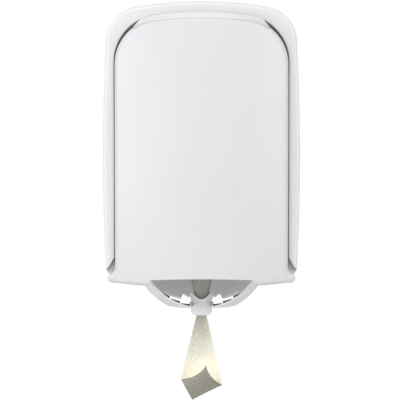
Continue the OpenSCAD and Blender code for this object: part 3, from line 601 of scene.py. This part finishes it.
def boolean(obj, bm, operation):
    """Cuts or joins a temporary solid."""
    tool = new_object("tool", bm)
    mod = obj.modifiers.new("boolean", "BOOLEAN")
    mod.operation = operation
    mod.solver = "EXACT"
    mod.object = tool
    apply_modifiers(obj)
    bpy.data.objects.remove(tool)


def smooth(obj, degrees=32, bevel=0.0):
    """Smooth shading that breaks at edges sharper than the angle, with an optional small bevel there."""
    if bevel:
        mod = obj.modifiers.new("bevel", "BEVEL")
        mod.width = bevel * MM
        mod.segments = 2
        mod.limit_method = "ANGLE"
        mod.angle_limit = math.radians(degrees)
        mod.use_clamp_overlap = True
        apply_modifiers(obj)
    bm = bmesh.new()
    bm.from_mesh(obj.data)
    for face in bm.faces:
        face.smooth = True
    for edge in bm.edges:
        edge.smooth = len(edge.link_faces) == 2 and edge.calc_face_angle(0) < math.radians(degrees)
    bm.to_mesh(obj.data)
    bm.free()


# Nodes that materials share

def principled(name, colour, roughness):
    mat = bpy.data.materials.new(name)
    mat.use_nodes = True
    shader = mat.node_tree.nodes["Principled BSDF"]
    shader.inputs["Base Color"].default_value = (*colour, 1.0)
    shader.inputs["Roughness"].default_value = roughness
    return mat, mat.node_tree, shader


def noise(tree, scale, detail, roughness=0.5):
    coords = tree.nodes.new("ShaderNodeTexCoord")
    node = tree.nodes.new("ShaderNodeTexNoise")
    node.inputs["Scale"].default_value = scale
    node.inputs["Detail"].default_value = detail
    node.inputs["Roughness"].default_value = roughness
    tree.links.new(coords.outputs["Object"], node.inputs["Vector"])
    return node.outputs["Fac"]


def ramp(tree, value, low, high, start=0.3, end=0.7):
    """Colour that runs from low to high as a value goes from start to end."""
    node = tree.nodes.new("ShaderNodeValToRGB")
    node.color_ramp.elements[0].position = start
    node.color_ramp.elements[1].position = end
    node.color_ramp.elements[0].color = (*low, 1.0)
    node.color_ramp.elements[1].color = (*high, 1.0)
    tree.links.new(value, node.inputs["Fac"])
    return node.outputs["Color"]


def map_range(tree, value, to_min, to_max, from_min=0.0, from_max=1.0):
    node = tree.nodes.new("ShaderNodeMapRange")
    node.inputs["From Min"].default_value = from_min
    node.inputs["From Max"].default_value = from_max
    node.inputs["To Min"].default_value = to_min
    node.inputs["To Max"].default_value = to_max
    tree.links.new(value, node.inputs["Value"])
    return node.outputs["Result"]


def scaled(tree, colour, factor):
    node = tree.nodes.new("ShaderNodeVectorMath")
    node.operation = "SCALE"
    tree.links.new(colour, node.inputs[0])
    tree.links.new(factor, node.inputs["Scale"])
    return node.outputs["Vector"]


def coordinates(tree, kind):
    """X, Y and Z of a texture coordinate."""
    coords = tree.nodes.new("ShaderNodeTexCoord")
    split = tree.nodes.new("ShaderNodeSeparateXYZ")
    tree.links.new(coords.outputs[kind], split.inputs["Vector"])
    return split.outputs


def mix_to_output(tree, out, first, second):
    """Sends a mix of two shaders to the output, and gives back the socket for the second one's share."""
    mix = tree.nodes.new("ShaderNodeMixShader")
    tree.links.new(first, mix.inputs[1])
    tree.links.new(second, mix.inputs[2])
    tree.links.new(mix.outputs["Shader"], out.inputs["Surface"])
    return mix.inputs["Fac"]


def camera_ray(tree):
    """1 for what the camera sees directly, and 0 for the light itself."""
    return tree.nodes.new("ShaderNodeLightPath").outputs["Is Camera Ray"]


def add_bump(tree, shader, height, strength, distance):
    bump = tree.nodes.new("ShaderNodeBump")
    bump.inputs["Strength"].default_value = strength
    bump.inputs["Distance"].default_value = distance
    tree.links.new(height, bump.inputs["Height"])
    tree.links.new(bump.outputs["Normal"], shader.inputs["Normal"])


def vary_roughness(tree, shader, value, middle, less, more):
    tree.links.new(map_range(tree, value, middle - less, middle + more), shader.inputs["Roughness"])


# Painted light: the surface glows with its own colour, standing in for light that passes through thin
# plastic and paper
def paint_glow(tree, shader, colour, strength):
    tree.links.new(colour, shader.inputs["Emission Color"])
    shader.inputs["Emission Strength"].default_value = strength


def let_through(tree, shader, colour, share):
    """Lets a share of the light through a thin wall."""
    thin = tree.nodes.new("ShaderNodeBsdfTranslucent")
    tree.links.new(colour, thin.inputs["Color"])
    out = tree.nodes["Material Output"]
    mix_to_output(tree, out, shader.outputs["BSDF"], thin.outputs["BSDF"]).default_value = share


def shade_in_gaps(tree, colour, reach, least):
    """Painted shade: a colour that darkens down to a share of itself in gaps narrower than the reach, where
    shade falls.
    """
    shade = tree.nodes.new("ShaderNodeAmbientOcclusion")
    shade.samples = 8
    shade.inputs["Distance"].default_value = reach
    share = map_range(tree, shade.outputs["AO"], least, 1.0, from_min=0.1, from_max=0.85)
    return scaled(tree, colour, share)


# Materials

PLASTIC_IOR = 1.46
PLASTIC_CLOUD = 0.985
PAPER_ROUGHNESS = 0.92
PAPER_SHINE = 0.15
# Shares of the paper's colour in its light and dark specks
SPECK_LIGHT = 1.05
SPECK_DARK = 0.7
# How far below the nozzle the painted shade on the paper fades out, as a share of the tail's length
SHADE_ENDS_AT = 0.56


def plastic(name, colour, roughness, thin=0.0, painted_glow=0.0, gap_shade_share=0.32, reach=0.009):
    """Moulded plastic: a fine spark-eroded grain, faint clouding and uneven gloss, with painted shade
    darkening its gaps; thin parts also let light through and get a painted glow.
    """
    mat, tree, shader = principled(name, colour, roughness)
    cloud = noise(tree, scale=9.0, detail=2.0)
    darker = tuple(c * PLASTIC_CLOUD for c in colour)
    # Painted shade: the colour darkens in narrow gaps, where shade falls
    shaded = shade_in_gaps(tree, ramp(tree, cloud, darker, colour), reach, gap_shade_share)
    tree.links.new(shaded, shader.inputs["Base Color"])
    if thin:
        let_through(tree, shader, shaded, thin)
        paint_glow(tree, shader, shaded, painted_glow)
    gloss = noise(tree, scale=35.0, detail=3.0)
    vary_roughness(tree, shader, gloss, roughness, less=0.04, more=0.05)
    grain = noise(tree, scale=1400.0, detail=2.0)
    add_bump(tree, shader, grain, strength=0.05, distance=0.0002)
    shader.inputs["IOR"].default_value = PLASTIC_IOR
    return mat


def metal(name, colour, roughness):
    """Plated metal with a fine grain."""
    mat, tree, shader = principled(name, colour, roughness)
    shader.inputs["Metallic"].default_value = 1.0
    grain = noise(tree, scale=900.0, detail=4.0)
    vary_roughness(tree, shader, grain, roughness, less=0.06, more=0.1)
    add_bump(tree, shader, grain, strength=0.04, distance=0.0001)
    return mat


def paper(name, colour, painted_glow=0.0, neck_shade=1.0):
    """Soft creped tissue with a speckle and a painted glow; painted shade darkens it towards the nozzle,
    down to a share of its colour.
    """
    mat, tree, shader = principled(name, colour, PAPER_ROUGHNESS)
    speck = noise(tree, scale=900.0, detail=3.0, roughness=0.65)
    light, dark = (tuple(min(1.0, c * k) for c in colour) for k in (SPECK_LIGHT, SPECK_DARK))
    tint = ramp(tree, speck, dark, light, start=0.38, end=0.56)
    shade_end_z = (NOZZLE_LOW - SHADE_ENDS_AT * TAIL_L) * MM
    share = map_range(tree, coordinates(tree, "Object")["Z"], 1.0, neck_shade, shade_end_z, NOZZLE_LOW * MM)
    # Painted shade: the paper's colour is scaled down towards the nozzle
    shaded = scaled(tree, tint, share)
    tree.links.new(shaded, shader.inputs["Base Color"])
    paint_glow(tree, shader, shaded, painted_glow)
    add_bump(tree, shader, speck, strength=0.2, distance=0.0003)
    shader.inputs["Specular IOR Level"].default_value = PAPER_SHINE
    return mat


MATERIALS = {
    "casing_plastic": plastic("casing_white", (0.88, 0.887, 0.90), 0.38),
    "cover_plastic": plastic("cover_white", (0.765, 0.775, 0.795), 0.36),
    "bowl_plastic": plastic("bowl_white", (0.90, 0.905, 0.895), 0.24,
                            thin=0.28, painted_glow=0.26, gap_shade_share=0.42, reach=0.056),
    "nozzle_plastic": plastic("nozzle_white", (0.90, 0.905, 0.91), 0.24,
                              thin=0.1, painted_glow=0.12, gap_shade_share=0.8),
    "tray_plastic": plastic("tray_white", (0.72, 0.73, 0.74), 0.5),
    "bush_plastic": plastic("bush_black", (0.03, 0.03, 0.032), 0.5),
    "steel": metal("zinc_steel", (0.60, 0.61, 0.63), 0.34),
    "lock_metal": metal("plated_lock", (0.70, 0.71, 0.73), 0.2),
    "paper": paper("crepe_paper", (0.93, 0.905, 0.785), painted_glow=0.225, neck_shade=0.5),
}
# Darker copies of the paper: painted shade for the turned-up end and the paper in the bowl, and a painted
# shadow line along the end's edge
PAPER_BACK_SHADED = paper("crepe_paper_back_shaded", (0.455, 0.44, 0.372))
PAPER_INNER_SHADED = paper("crepe_paper_inner_shaded", (0.50, 0.497, 0.472))
PAPER_EDGE_SHADOW = paper("crepe_paper_edge_shadow", (0.20, 0.19, 0.16))
# The two sides and the edge of the sheet, for its fan, its gathered part and its turned-up end; the darker
# copies are painted shade on the sheet's back, which shows on the turned-up end, and on the gathered part
# in the bowl, and a painted shadow line along the turned-up end's edge
TAIL_MATERIALS = (
    PAPER_BACK_SHADED, MATERIALS["paper"], MATERIALS["paper"],
    PAPER_INNER_SHADED, PAPER_INNER_SHADED, PAPER_INNER_SHADED,
    PAPER_BACK_SHADED, MATERIALS["paper"], PAPER_EDGE_SHADOW,
)
FAN_SIDES = 0
GATHERED_SIDES = 3
FLAP_SIDES = 6


def dress(obj, slot):
    obj.data.materials.clear()
    obj.data.materials.append(MATERIALS[slot])


# Cover

def cover_blank():
    """The cover's shell: inside face, rear edge and outside face in one closed skin."""
    shares = [i / COVER_FACE_STEPS for i in range(1, COVER_FACE_STEPS)]
    bm = bmesh.new()
    add_loft(bm, [cover_face_ring(COVER_WALL, k) for k in shares]
             + [cover_edge_ring(COVER_WALL, a) for a in range(0, 91, 15)]
             + [cover_rear_ring(COVER_WALL), cover_rear_ring(0)]
             + [cover_edge_ring(0, a) for a in range(90, -1, -9)]
             + [cover_face_ring(0, k) for k in reversed(shares)])
    return new_object("cover_shell", bm)


def cover_cuts():
    """Cut-out over the bowl and slots for the hinge plates."""
    bm = bmesh.new()
    arch_r = (CUTOUT_TOP_HW ** 2 + CUTOUT_RISE ** 2) / (2 * CUTOUT_RISE)
    turn = math.degrees(math.asin(CUTOUT_TOP_HW / arch_r))
    arch_centre = (0.0, COVER_LOW + CUTOUT_H + CUTOUT_RISE - arch_r)
    arch = arc(arch_centre, arch_r, 90 - turn, 90 + turn, CUTOUT_STEPS)
    low = COVER_LOW - OVERCUT
    add_prism(bm, [(-CUTOUT_HW, low), (CUTOUT_HW, low)] + arch, -BODY_D, -2 * BODY_D)
    for side in SIDES:
        x0, x1 = sorted((side * (PLATE_X - SLOT_CLEAR), side * (PLATE_X + PLATE_T + SLOT_CLEAR)))
        add_box(bm, (x0, HINGE_Y - PLATE_R - SLOT_FRONT, COVER_LOW - SLOT_BELOW),
                (x1, OVERCUT - BODY_D, HINGE_Z - SLOT_UNDER_PIN))
    return bm


def cover_lip():
    bm = bmesh.new()
    add_loft(bm, [lip_section(TOP_LIP_HW * i / TOP_LIP_STEPS)
                  for i in range(-TOP_LIP_STEPS, TOP_LIP_STEPS + 1)])
    return bm


def cover_ears():
    """Ears for the hinge and posts for the catch."""
    bm = bmesh.new()
    low = COVER_FOOT[1] - math.sqrt(COVER_FOOT_R ** 2 - EAR_X ** 2) + COVER_WALL / 2
    rear = HINGE_Y + EAR_R - EAR_REAR_CUT
    outline = arc((HINGE_Y, HINGE_Z), EAR_R, 0, 180, EAR_STEPS)
    outline += [(HINGE_Y - EAR_R, low), (rear, low), (rear, HINGE_Z - EAR_REAR_CUT)]
    for side in SIDES:
        add_side_prism(bm, outline, *sorted((side * EAR_X, side * (EAR_X + EAR_T))))
    for x in CATCH_POSTS:
        top = COVER_CREST - COVER_WALL / 2 - x * x / (2 * CROWN_R)
        add_upright(bm, (x, CATCH_Y), CATCH_TOP, top, POST_R, sides=48)
    return bm


def cover_bores():
    """Screw holes in the posts and bush holes in the ears."""
    bm = bmesh.new()
    for x in CATCH_POSTS:
        add_upright(bm, (x, CATCH_Y), CATCH_TOP - OVERCUT, CATCH_TOP + CATCH_SCREW_L,
                    SCREW_R + SEAT_CLEAR, sides=24)
    for side in SIDES:
        add_on_hinge(bm, side * (EAR_X - OVERCUT), side * (EAR_X + EAR_T + OVERCUT), BUSH_R + SEAT_CLEAR)
    return bm


def make_cover():
    cover = cover_blank()
    boolean(cover, cover_cuts(), "DIFFERENCE")
    boolean(cover, cover_lip(), "UNION")
    boolean(cover, cover_ears(), "UNION")
    boolean(cover, cover_bores(), "DIFFERENCE")
    smooth(cover)
    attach(cover, "cover")
    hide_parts("front_cover")
    dress(cover, "cover_plastic")


# Casing

def casing_blank():
    """The casing's outside: rounded back edge, drafted sides and rounded rim."""
    rings = []
    for degrees in range(0, 91, 30):
        a = math.radians(degrees)
        rings.append(casing_ring(-BACK_EDGE * (1 - math.cos(a)),
                                 draft_at(0) + BACK_EDGE * (1 - math.sin(a)), FLOOR_Z))
    for i in range(1, DEPTH_STEPS):
        y = (RIM_EDGE_R - BODY_D) * i / DEPTH_STEPS
        rings.append(casing_ring(y, draft_at(y), FLOOR_Z))
    for degrees in range(0, 91, 10):
        a = math.radians(degrees)
        y = RIM_EDGE_R * (1 - math.sin(a)) - BODY_D
        rings.append(casing_ring(y, draft_at(y) + RIM_EDGE_R * (1 - math.cos(a)), FLOOR_Z))
    bm = bmesh.new()
    add_loft(bm, rings)
    return new_object("casing_shell", bm)


def casing_cavity():
    """Hollow behind the ledge."""
    bm = bmesh.new()
    add_loft(bm, [casing_ring(y, draft_at(y) + CASING_WALL, FLOOR_TOP)
                  for y in (-CASING_WALL, LEDGE_Y + LEDGE_T)])
    return bm


def casing_opening():
    """Opening in the ledge."""
    bm = bmesh.new()
    outline = mirrored(mouth_half(LEDGE_W))
    add_prism(bm, outline, LEDGE_Y + LEDGE_T + OVERCUT / 2, LEDGE_Y - OVERCUT / 2)
    return bm


def casing_mouth():
    """Mouth in front of the ledge, with a rounded edge."""
    rings = [mouth_ring(1.0, LEDGE_Y)]
    for degrees in range(90, -1, -15):
        a = math.radians(degrees)
        rings.append(mouth_ring(math.sin(a), MOUTH_EDGE_R * (1 - math.cos(a)) - BODY_D))
    rings.append(mouth_ring(0.0, -BODY_D - OVERCUT / 2))
    bm = bmesh.new()
    add_loft(bm, rings)
    return bm


def casing_rim_feet():
    """Slopes that end the rim at the foot on both sides."""
    bm = bmesh.new()
    inner, low = MOUTH_HW - RIM_FOOT_LAP, FLOOR_Z - OVERCUT
    outline = ((inner, FLOOR_Z + RIM_FOOT_UP), (inner, low),
               (RIM_FOOT_X, low), (RIM_FOOT_X, FLOOR_Z + RIM_FOOT_LOW))
    for side in SIDES:
        add_prism(bm, [(side * x, z) for x, z in outline], LEDGE_Y - LEDGE_SKIN, -BODY_D - OVERCUT)
    return bm


def casing_relief():
    """Room for the cover's foot when it swings about the hinge."""
    bm = bmesh.new()
    foot_bow = COVER_FOOT_R - math.sqrt(COVER_FOOT_R ** 2 - CUTOUT_HW ** 2)
    add_on_hinge(bm, -RIM_FOOT_X, RIM_FOOT_X, COVER_DROP + HINGE_UP + HINGE_RELIEF - foot_bow, sides=96)
    return bm


def casing_bosses():
    """Hinge plates, the lock's boss, the pads of the wall holes and the lugs for the bowl's screws."""
    bm = bmesh.new()
    outline = arc((HINGE_Y, HINGE_Z), PLATE_R, 90, 270, PLATE_STEPS)
    outline += [(HINGE_Y + PLATE_L, HINGE_Z - PLATE_R), (HINGE_Y + PLATE_L, HINGE_Z + PLATE_R)]
    for side in SIDES:
        add_side_prism(bm, outline, *sorted((side * PLATE_X, side * (PLATE_X + PLATE_T))))
    add_upright(bm, (0, LOCK_Y), MOUTH_CREST + LOCK_BOSS_UP, LOCK_SEAT, SLEEVE_FLANGE_R + LOCK_BOSS_WALL)
    for x, z in FIX_PLACES:
        add_cylinder(bm, (x, -JOIN_LAP, z), (x, -CASING_WALL - FIX_PAD_H, z), FIX_PAD_R, sides=48)
    lug_low = FLOOR_Z + JOIN_LAP
    for place in round_axis(FLANGE_R - BOWL_LUG_INSET, BOWL_LUG_TURNS):
        add_upright(bm, place, lug_low, lug_low + LUG_H, LUG_R, sides=48)
    return bm


def casing_lock_recess():
    """Recess for the flange of the lock's sleeve."""
    bm = bmesh.new()
    add_upright(bm, (0, LOCK_Y), LOCK_SEAT, LOCK_SEAT + RIM_H, SLEEVE_FLANGE_R + SEAT_RELIEF)
    return bm


def casing_holes():
    """Wall holes, the hole over the bowl, screw holes, the lock's hole and pin holes."""
    bm = bmesh.new()
    for x, z in FIX_PLACES:
        add_cylinder(bm, (x, OVERCUT, z), (x, -CASING_WALL - FIX_PAD_H - OVERCUT, z), FIX_HOLE_R, sides=40)
    low, high = FLOOR_Z - OVERCUT, FLOOR_TOP + OVERCUT
    add_upright(bm, (0, ROLL_Y), low, high, FLOOR_HOLE_R, sides=160)
    for place in round_axis(FLANGE_R - BOWL_LUG_INSET, BOWL_LUG_TURNS):
        add_upright(bm, place, low, FLOOR_Z + LUG_H - LUG_ROOF, SCREW_R + SEAT_CLEAR, sides=24)
    for place in round_axis(FLANGE_R + SCREW_HEAD_R + TRAY_LUG_GAP, TRAY_LUG_TURNS):
        add_upright(bm, place, low, high, SCREW_R + SEAT_CLEAR, sides=24)
    add_upright(bm, (0, LOCK_Y), MOUTH_CREST, CREST_Z + LOCK_HOLE_OVER, SLEEVE_R + SEAT_CLEAR)
    for side in SIDES:
        add_on_hinge(bm, side * (PLATE_X - OVERCUT), side * (PLATE_X + PLATE_T + OVERCUT),
                     PIN_R + SEAT_CLEAR, sides=32)
    return bm


def make_casing():
    casing = casing_blank()
    for cut in (casing_cavity, casing_opening, casing_mouth, casing_rim_feet, casing_relief):
        boolean(casing, cut(), "DIFFERENCE")
    boolean(casing, casing_bosses(), "UNION")
    for cut in (casing_lock_recess, casing_holes):
        boolean(casing, cut(), "DIFFERENCE")
    smooth(casing)
    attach(casing, "casing")
    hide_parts("rear_casing")
    dress(casing, "casing_plastic")


# Nozzle

def nozzle_profile():
    """Radius and height along the nozzle's section: rounded foot, outside, crown, funnel and bore."""
    crown_top = SADDLE_TOP + CROWN_UP
    flare_z = SADDLE_TOP + CROWN_FLARE_UP
    foot = (NOZZLE_R - NOZZLE_ROUND_R, NOZZLE_LOW + NOZZLE_ROUND_R)
    return arc(foot, NOZZLE_ROUND_R, -90, 0, NOZZLE_ROUND_STEPS) + [
        (NOZZLE_R, SADDLE_TOP - CROWN_STEP), (CROWN_R_LOW, SADDLE_TOP), (CROWN_FLARE_R, flare_z),
        (CROWN_FLARE_R, crown_top), (CROWN_FLARE_R - CROWN_WALL, crown_top),
        (CROWN_FLARE_R - 2 * CROWN_WALL, flare_z), (NOZZLE_BORE_R, THROAT_Z), (NOZZLE_BORE_R, NOZZLE_LOW)]


def nozzle_dip():
    """Dip between the crown's prongs."""
    bm = bmesh.new()
    outline = mirrored([(x, SADDLE_TOP + DIP_UP + up) for x, up in DIP_HALF])
    add_prism(bm, outline, ROLL_Y - 2 * NOZZLE_R, ROLL_Y + 2 * NOZZLE_R)
    return bm


def make_nozzle():
    bm = bmesh.new()
    turns = [360 * i / NOZZLE_STEPS for i in range(NOZZLE_STEPS)]
    rows = [add_row(bm, [(x, y, z) for x, y in round_axis(r, turns)]) for r, z in nozzle_profile()]
    for a, b in zip(rows, rows[1:] + rows[:1]):
        add_band(bm, a, b)
    nozzle = new_object("nozzle_shell", bm)
    boolean(nozzle, nozzle_dip(), "DIFFERENCE")
    smooth(nozzle, degrees=40, bevel=NOZZLE_BEVEL)
    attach(nozzle, "nozzle")
    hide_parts("nozzle")
    dress(nozzle, "nozzle_plastic")


# Tear ribs: black strips that paint the shadow lines behind the bowl's cut front

def bowl_z(x, y, over):
    """Height over the bowl's inside at x and y, both taken from its axis."""
    r = BOWL_R - BOWL_WALL - over
    return FLOOR_Z + max(BOWL_WALL - BOWL_DEPTH + over, BOWL_CENTRE_UP - math.sqrt(r * r - x * x - y * y))


def rib_section(x, height, side):
    """Section of a black rib that stands behind the cut front of the bowl, as a painted shadow line."""
    front = RIB_BACK - BOWL_FRONT
    back = front + RIB_T
    corners = ((front, -RIB_SUNK), (back, -RIB_SUNK), (back, height), (front, height))
    return [(side * x, ROLL_Y + y, bowl_z(x, y, over)) for y, over in corners]


def make_shadow_ribs():
    bm = bmesh.new()
    shares = [i / RIB_STEPS for i in range(RIB_STEPS + 1)]
    for side in SIDES:
        for start, end in RIB_SPANS:
            add_loft(bm, [rib_section(between(start, end, k), between(RIB_IN_H, RIB_OUT_H, k), side)
                          for k in shares])
    ribs = new_object("tear_shadow_ribs", bm)
    smooth(ribs)
    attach(ribs, "casing")
    # Black plastic paints the shadow lines along the bowl's cut front
    dress(ribs, "bush_plastic")


# Paper tail

def gather_r(z):
    """Radius of the gathered paper above the nozzle's exit."""
    if z < THROAT_Z:
        return NECK_R
    if z < FUNNEL_Z:
        return between(NECK_R, FUNNEL_R, (z - THROAT_Z) / (FUNNEL_Z - THROAT_Z))
    return min(GATHER_R, FUNNEL_R + (z - FUNNEL_Z) * GATHER_SLOPE)


def gathered_at(s, z):
    """Point of the pleated ring that the sheet makes above the nozzle's exit; its slit is at the front."""
    k = ease((z - NOZZLE_LOW) / (THROAT_Z - NOZZLE_LOW))
    a = math.pi * between(EXIT_TURN, RING_TURN, k) * s
    r = gather_r(z) * (1 - PLEAT_SHARE * k * (1 + math.cos(PLEAT_COUNT * a)))
    return (r * math.sin(a), ROLL_Y + r * math.cos(a), z)


def tail_reach(s):
    """Share of the tail's length that the sheet reaches, from s = -1 at the left to 1 at the right."""
    if s < TAIL_LOW_S:
        return 1 - TAIL_LEFT_RISE * (TAIL_LOW_S - s) / (TAIL_LOW_S + 1)
    return 1 - TAIL_RIGHT_RISE * (s - TAIL_LOW_S) / (1 - TAIL_LOW_S)


def fan_at(s, v):
    """Point of the sheet below the nozzle: a half cone that flattens towards its end."""
    q = math.sin(math.pi / 2 * s)
    depth = between(NECK_R, TROUGH, min(1.0, 2 * v)) - TROUGH_CLOSE * TROUGH * max(0.0, v - 0.5)
    y = ROLL_Y + depth * (math.cos(math.pi / 2 * s) - FLATTEN * ease(FLATTEN_RATE * v))
    y += FOLD_DEPTH * math.sin(math.pi * FOLD_COUNT * s + FOLD_PHASE) * v * (1 - FOLD_FADE * v)
    low = NOZZLE_LOW - TAIL_L * tail_reach(q)
    return (q * between(NECK_R, TAIL_HW, v), y, between(NOZZLE_LOW, low, v))


def flap_at(along, v):
    """Point of the turned-up end: along the fold from its low end, and by v up to the free edge."""
    x, y, z = fan_at(between(FOLD_S, 1, along), 1.0)
    u = (x / TAIL_HW - TAIL_LOW_S) / (1 - TAIL_LOW_S)
    sag = FLAP_SAG * v * v * hump(u)
    hollow = FLAP_HOLLOW * u * hump(v)
    flick = FLAP_FLICK * (u * v) ** FLAP_FLICK_POWER
    return (x - TAIL_HW * between(*FLAP_LEFT, u) * v - hollow,
            y - FLAP_LEAN * math.sin(math.pi / 2 * v) * between(FLAP_LEAN_LOW, 1, u),
            z + TAIL_L * between(*FLAP_UP, u) * v - sag + flick)


def add_strip(bm, a, b, material):
    """Faces between two open rows of vertices."""
    for j in range(len(a) - 1):
        bm.faces.new((a[j], a[j + 1], b[j + 1], b[j])).material_index = material


def tail_surface():
    """The sheet without thickness: gathered part, fan and turned-up end."""
    bm = bmesh.new()
    fold_col = round((FOLD_S + 1) / 2 * TAIL_COLS)
    fold_cols = TAIL_COLS - fold_col
    shares = [between(-1, FOLD_S, i / fold_col) for i in range(fold_col)]
    shares += [between(FOLD_S, 1, i / fold_cols) for i in range(fold_cols + 1)]
    heights = [between(TAIL_TOP_Z, NOZZLE_LOW, i / GATHER_ROWS) for i in range(GATHER_ROWS)]
    rows = [add_row(bm, [gathered_at(s, z) for s in shares]) for z in heights]
    rows += [add_row(bm, [fan_at(s, i / FAN_ROWS) for s in shares]) for i in range(FAN_ROWS + 1)]
    for i, (a, b) in enumerate(zip(rows, rows[1:])):
        add_strip(bm, a, b, GATHERED_SIDES if i < GATHER_ROWS else FAN_SIDES)
    edge = rows[-1][fold_col:]
    for i in range(1, FLAP_ROWS + 1):
        row = add_row(bm, [flap_at(j / fold_cols, i / FLAP_ROWS) for j in range(fold_cols + 1)])
        add_strip(bm, edge, row, FLAP_SIDES)
        edge = row
    return new_object("tail_sheet", bm)


def make_tail():
    tail = tail_surface()
    for mat in TAIL_MATERIALS:
        tail.data.materials.append(mat)
    mod = tail.modifiers.new("thickness", "SOLIDIFY")
    mod.thickness = PAPER_T * MM
    mod.offset = 0.0
    mod.material_offset = 1
    mod.material_offset_rim = 2
    apply_modifiers(tail)
    smooth(tail, degrees=50)
    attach(tail, "casing")
    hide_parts("paper_tail")


# Stage: floor, light and camera, with sizes and places in metres

STAGE_HALF = 6.0
STAGE_Z = -0.44
STAGE_COLOUR = (0.75, 0.75, 0.74, 1.0)
WHITE = (1.0, 1.0, 1.0, 1.0)
# Axis, where the world's light is dim and where it is bright along it, and its strength there
WORLD_LIGHT = (("Z", -0.5, 0.8, 0.46), ("Y", 0.0, -1.0, 0.05))
# Name, place, width and height, and power of each softbox
SOFTBOXES = (
    ("key", (-1.2, -2.2, -0.1), (1.2, 0.6), 5.5),
    ("left", (-2.0, -1.4, 0.3), (1.2, 1.6), 23.0),
    ("right", (1.9, -1.6, 0.3), (1.2, 1.6), 20.5),
    ("top", (0.0, -1.3, 2.1), (1.6, 1.6), 15.0),
)
LIGHT_TARGET = (0.0, -0.15, -0.05)
CAMERA_DISTANCE = 2.4
CAMERA_HEIGHT = 0.0662
CAMERA_PITCH = 3.56
SENSOR_MM = 36.0
# Focal length and width of the photo, in its pixels
FOCAL_PX = 1825.0
PHOTO_PX = 403.0


def make_floor():
    """A floor that throws light up at the part; the camera looks through it."""
    bm = bmesh.new()
    corners = ((-1, -1), (1, -1), (1, 1), (-1, 1))
    bm.faces.new([bm.verts.new((x * STAGE_HALF, y * STAGE_HALF, STAGE_Z)) for x, y in corners])
    floor = new_object("floor", bm)
    mat = bpy.data.materials.new("pale_floor")
    mat.use_nodes = True
    tree = mat.node_tree
    tree.nodes.clear()
    out = tree.nodes.new("ShaderNodeOutputMaterial")
    diffuse = tree.nodes.new("ShaderNodeBsdfDiffuse")
    diffuse.inputs["Color"].default_value = STAGE_COLOUR
    clear = tree.nodes.new("ShaderNodeBsdfTransparent")
    share = mix_to_output(tree, out, diffuse.outputs["BSDF"], clear.outputs["BSDF"])
    tree.links.new(camera_ray(tree), share)
    floor.data.materials.append(mat)


def make_world():
    """White to look at; as a light it comes from above and, a little, from the front."""
    world = bpy.data.worlds.new("studio")
    bpy.context.scene.world = world
    world.use_nodes = True
    tree = world.node_tree
    tree.nodes.clear()
    out = tree.nodes.new("ShaderNodeOutputWorld")
    soft = tree.nodes.new("ShaderNodeBackground")
    soft.inputs["Color"].default_value = WHITE
    axes = coordinates(tree, "Generated")
    total = tree.nodes.new("ShaderNodeMath")
    for i, (axis, dim, bright, strength) in enumerate(WORLD_LIGHT):
        tree.links.new(map_range(tree, axes[axis], 0.0, strength, dim, bright), total.inputs[i])
    tree.links.new(total.outputs["Value"], soft.inputs["Strength"])
    white = tree.nodes.new("ShaderNodeBackground")
    white.inputs["Color"].default_value = WHITE
    share = mix_to_output(tree, out, soft.outputs["Background"], white.outputs["Background"])
    tree.links.new(camera_ray(tree), share)


def make_softbox(name, place, size, watts):
    light = bpy.data.lights.new(name, "AREA")
    light.shape = "RECTANGLE"
    light.size, light.size_y = size
    light.energy = watts
    obj = bpy.data.objects.new(name, light)
    obj.location = place
    obj.rotation_euler = (Vector(LIGHT_TARGET) - Vector(place)).to_track_quat("-Z", "Y").to_euler()
    bpy.context.collection.objects.link(obj)


def make_camera():
    cam = bpy.data.cameras.new("camera")
    cam.sensor_width = SENSOR_MM
    cam.lens = FOCAL_PX * SENSOR_MM / PHOTO_PX
    obj = bpy.data.objects.new("camera", cam)
    obj.location = (0.0, -CAMERA_DISTANCE, CAMERA_HEIGHT)
    obj.rotation_euler = (math.radians(90 - CAMERA_PITCH), 0.0, 0.0)
    bpy.context.collection.objects.link(obj)
    bpy.context.scene.camera = obj


make_camera()
make_world()
make_floor()
for softbox in SOFTBOXES:
    make_softbox(*softbox)
bpy.context.scene.view_settings.view_transform = "Standard"

make_cover()
make_casing()
make_nozzle()
make_shadow_ribs()
make_tail()
slots = {row["node"]: row["material_slot"] for row in frame["record"]["subparts"]}
for node, obj in frame["nodes"].items():
    dress(obj, slots[node])
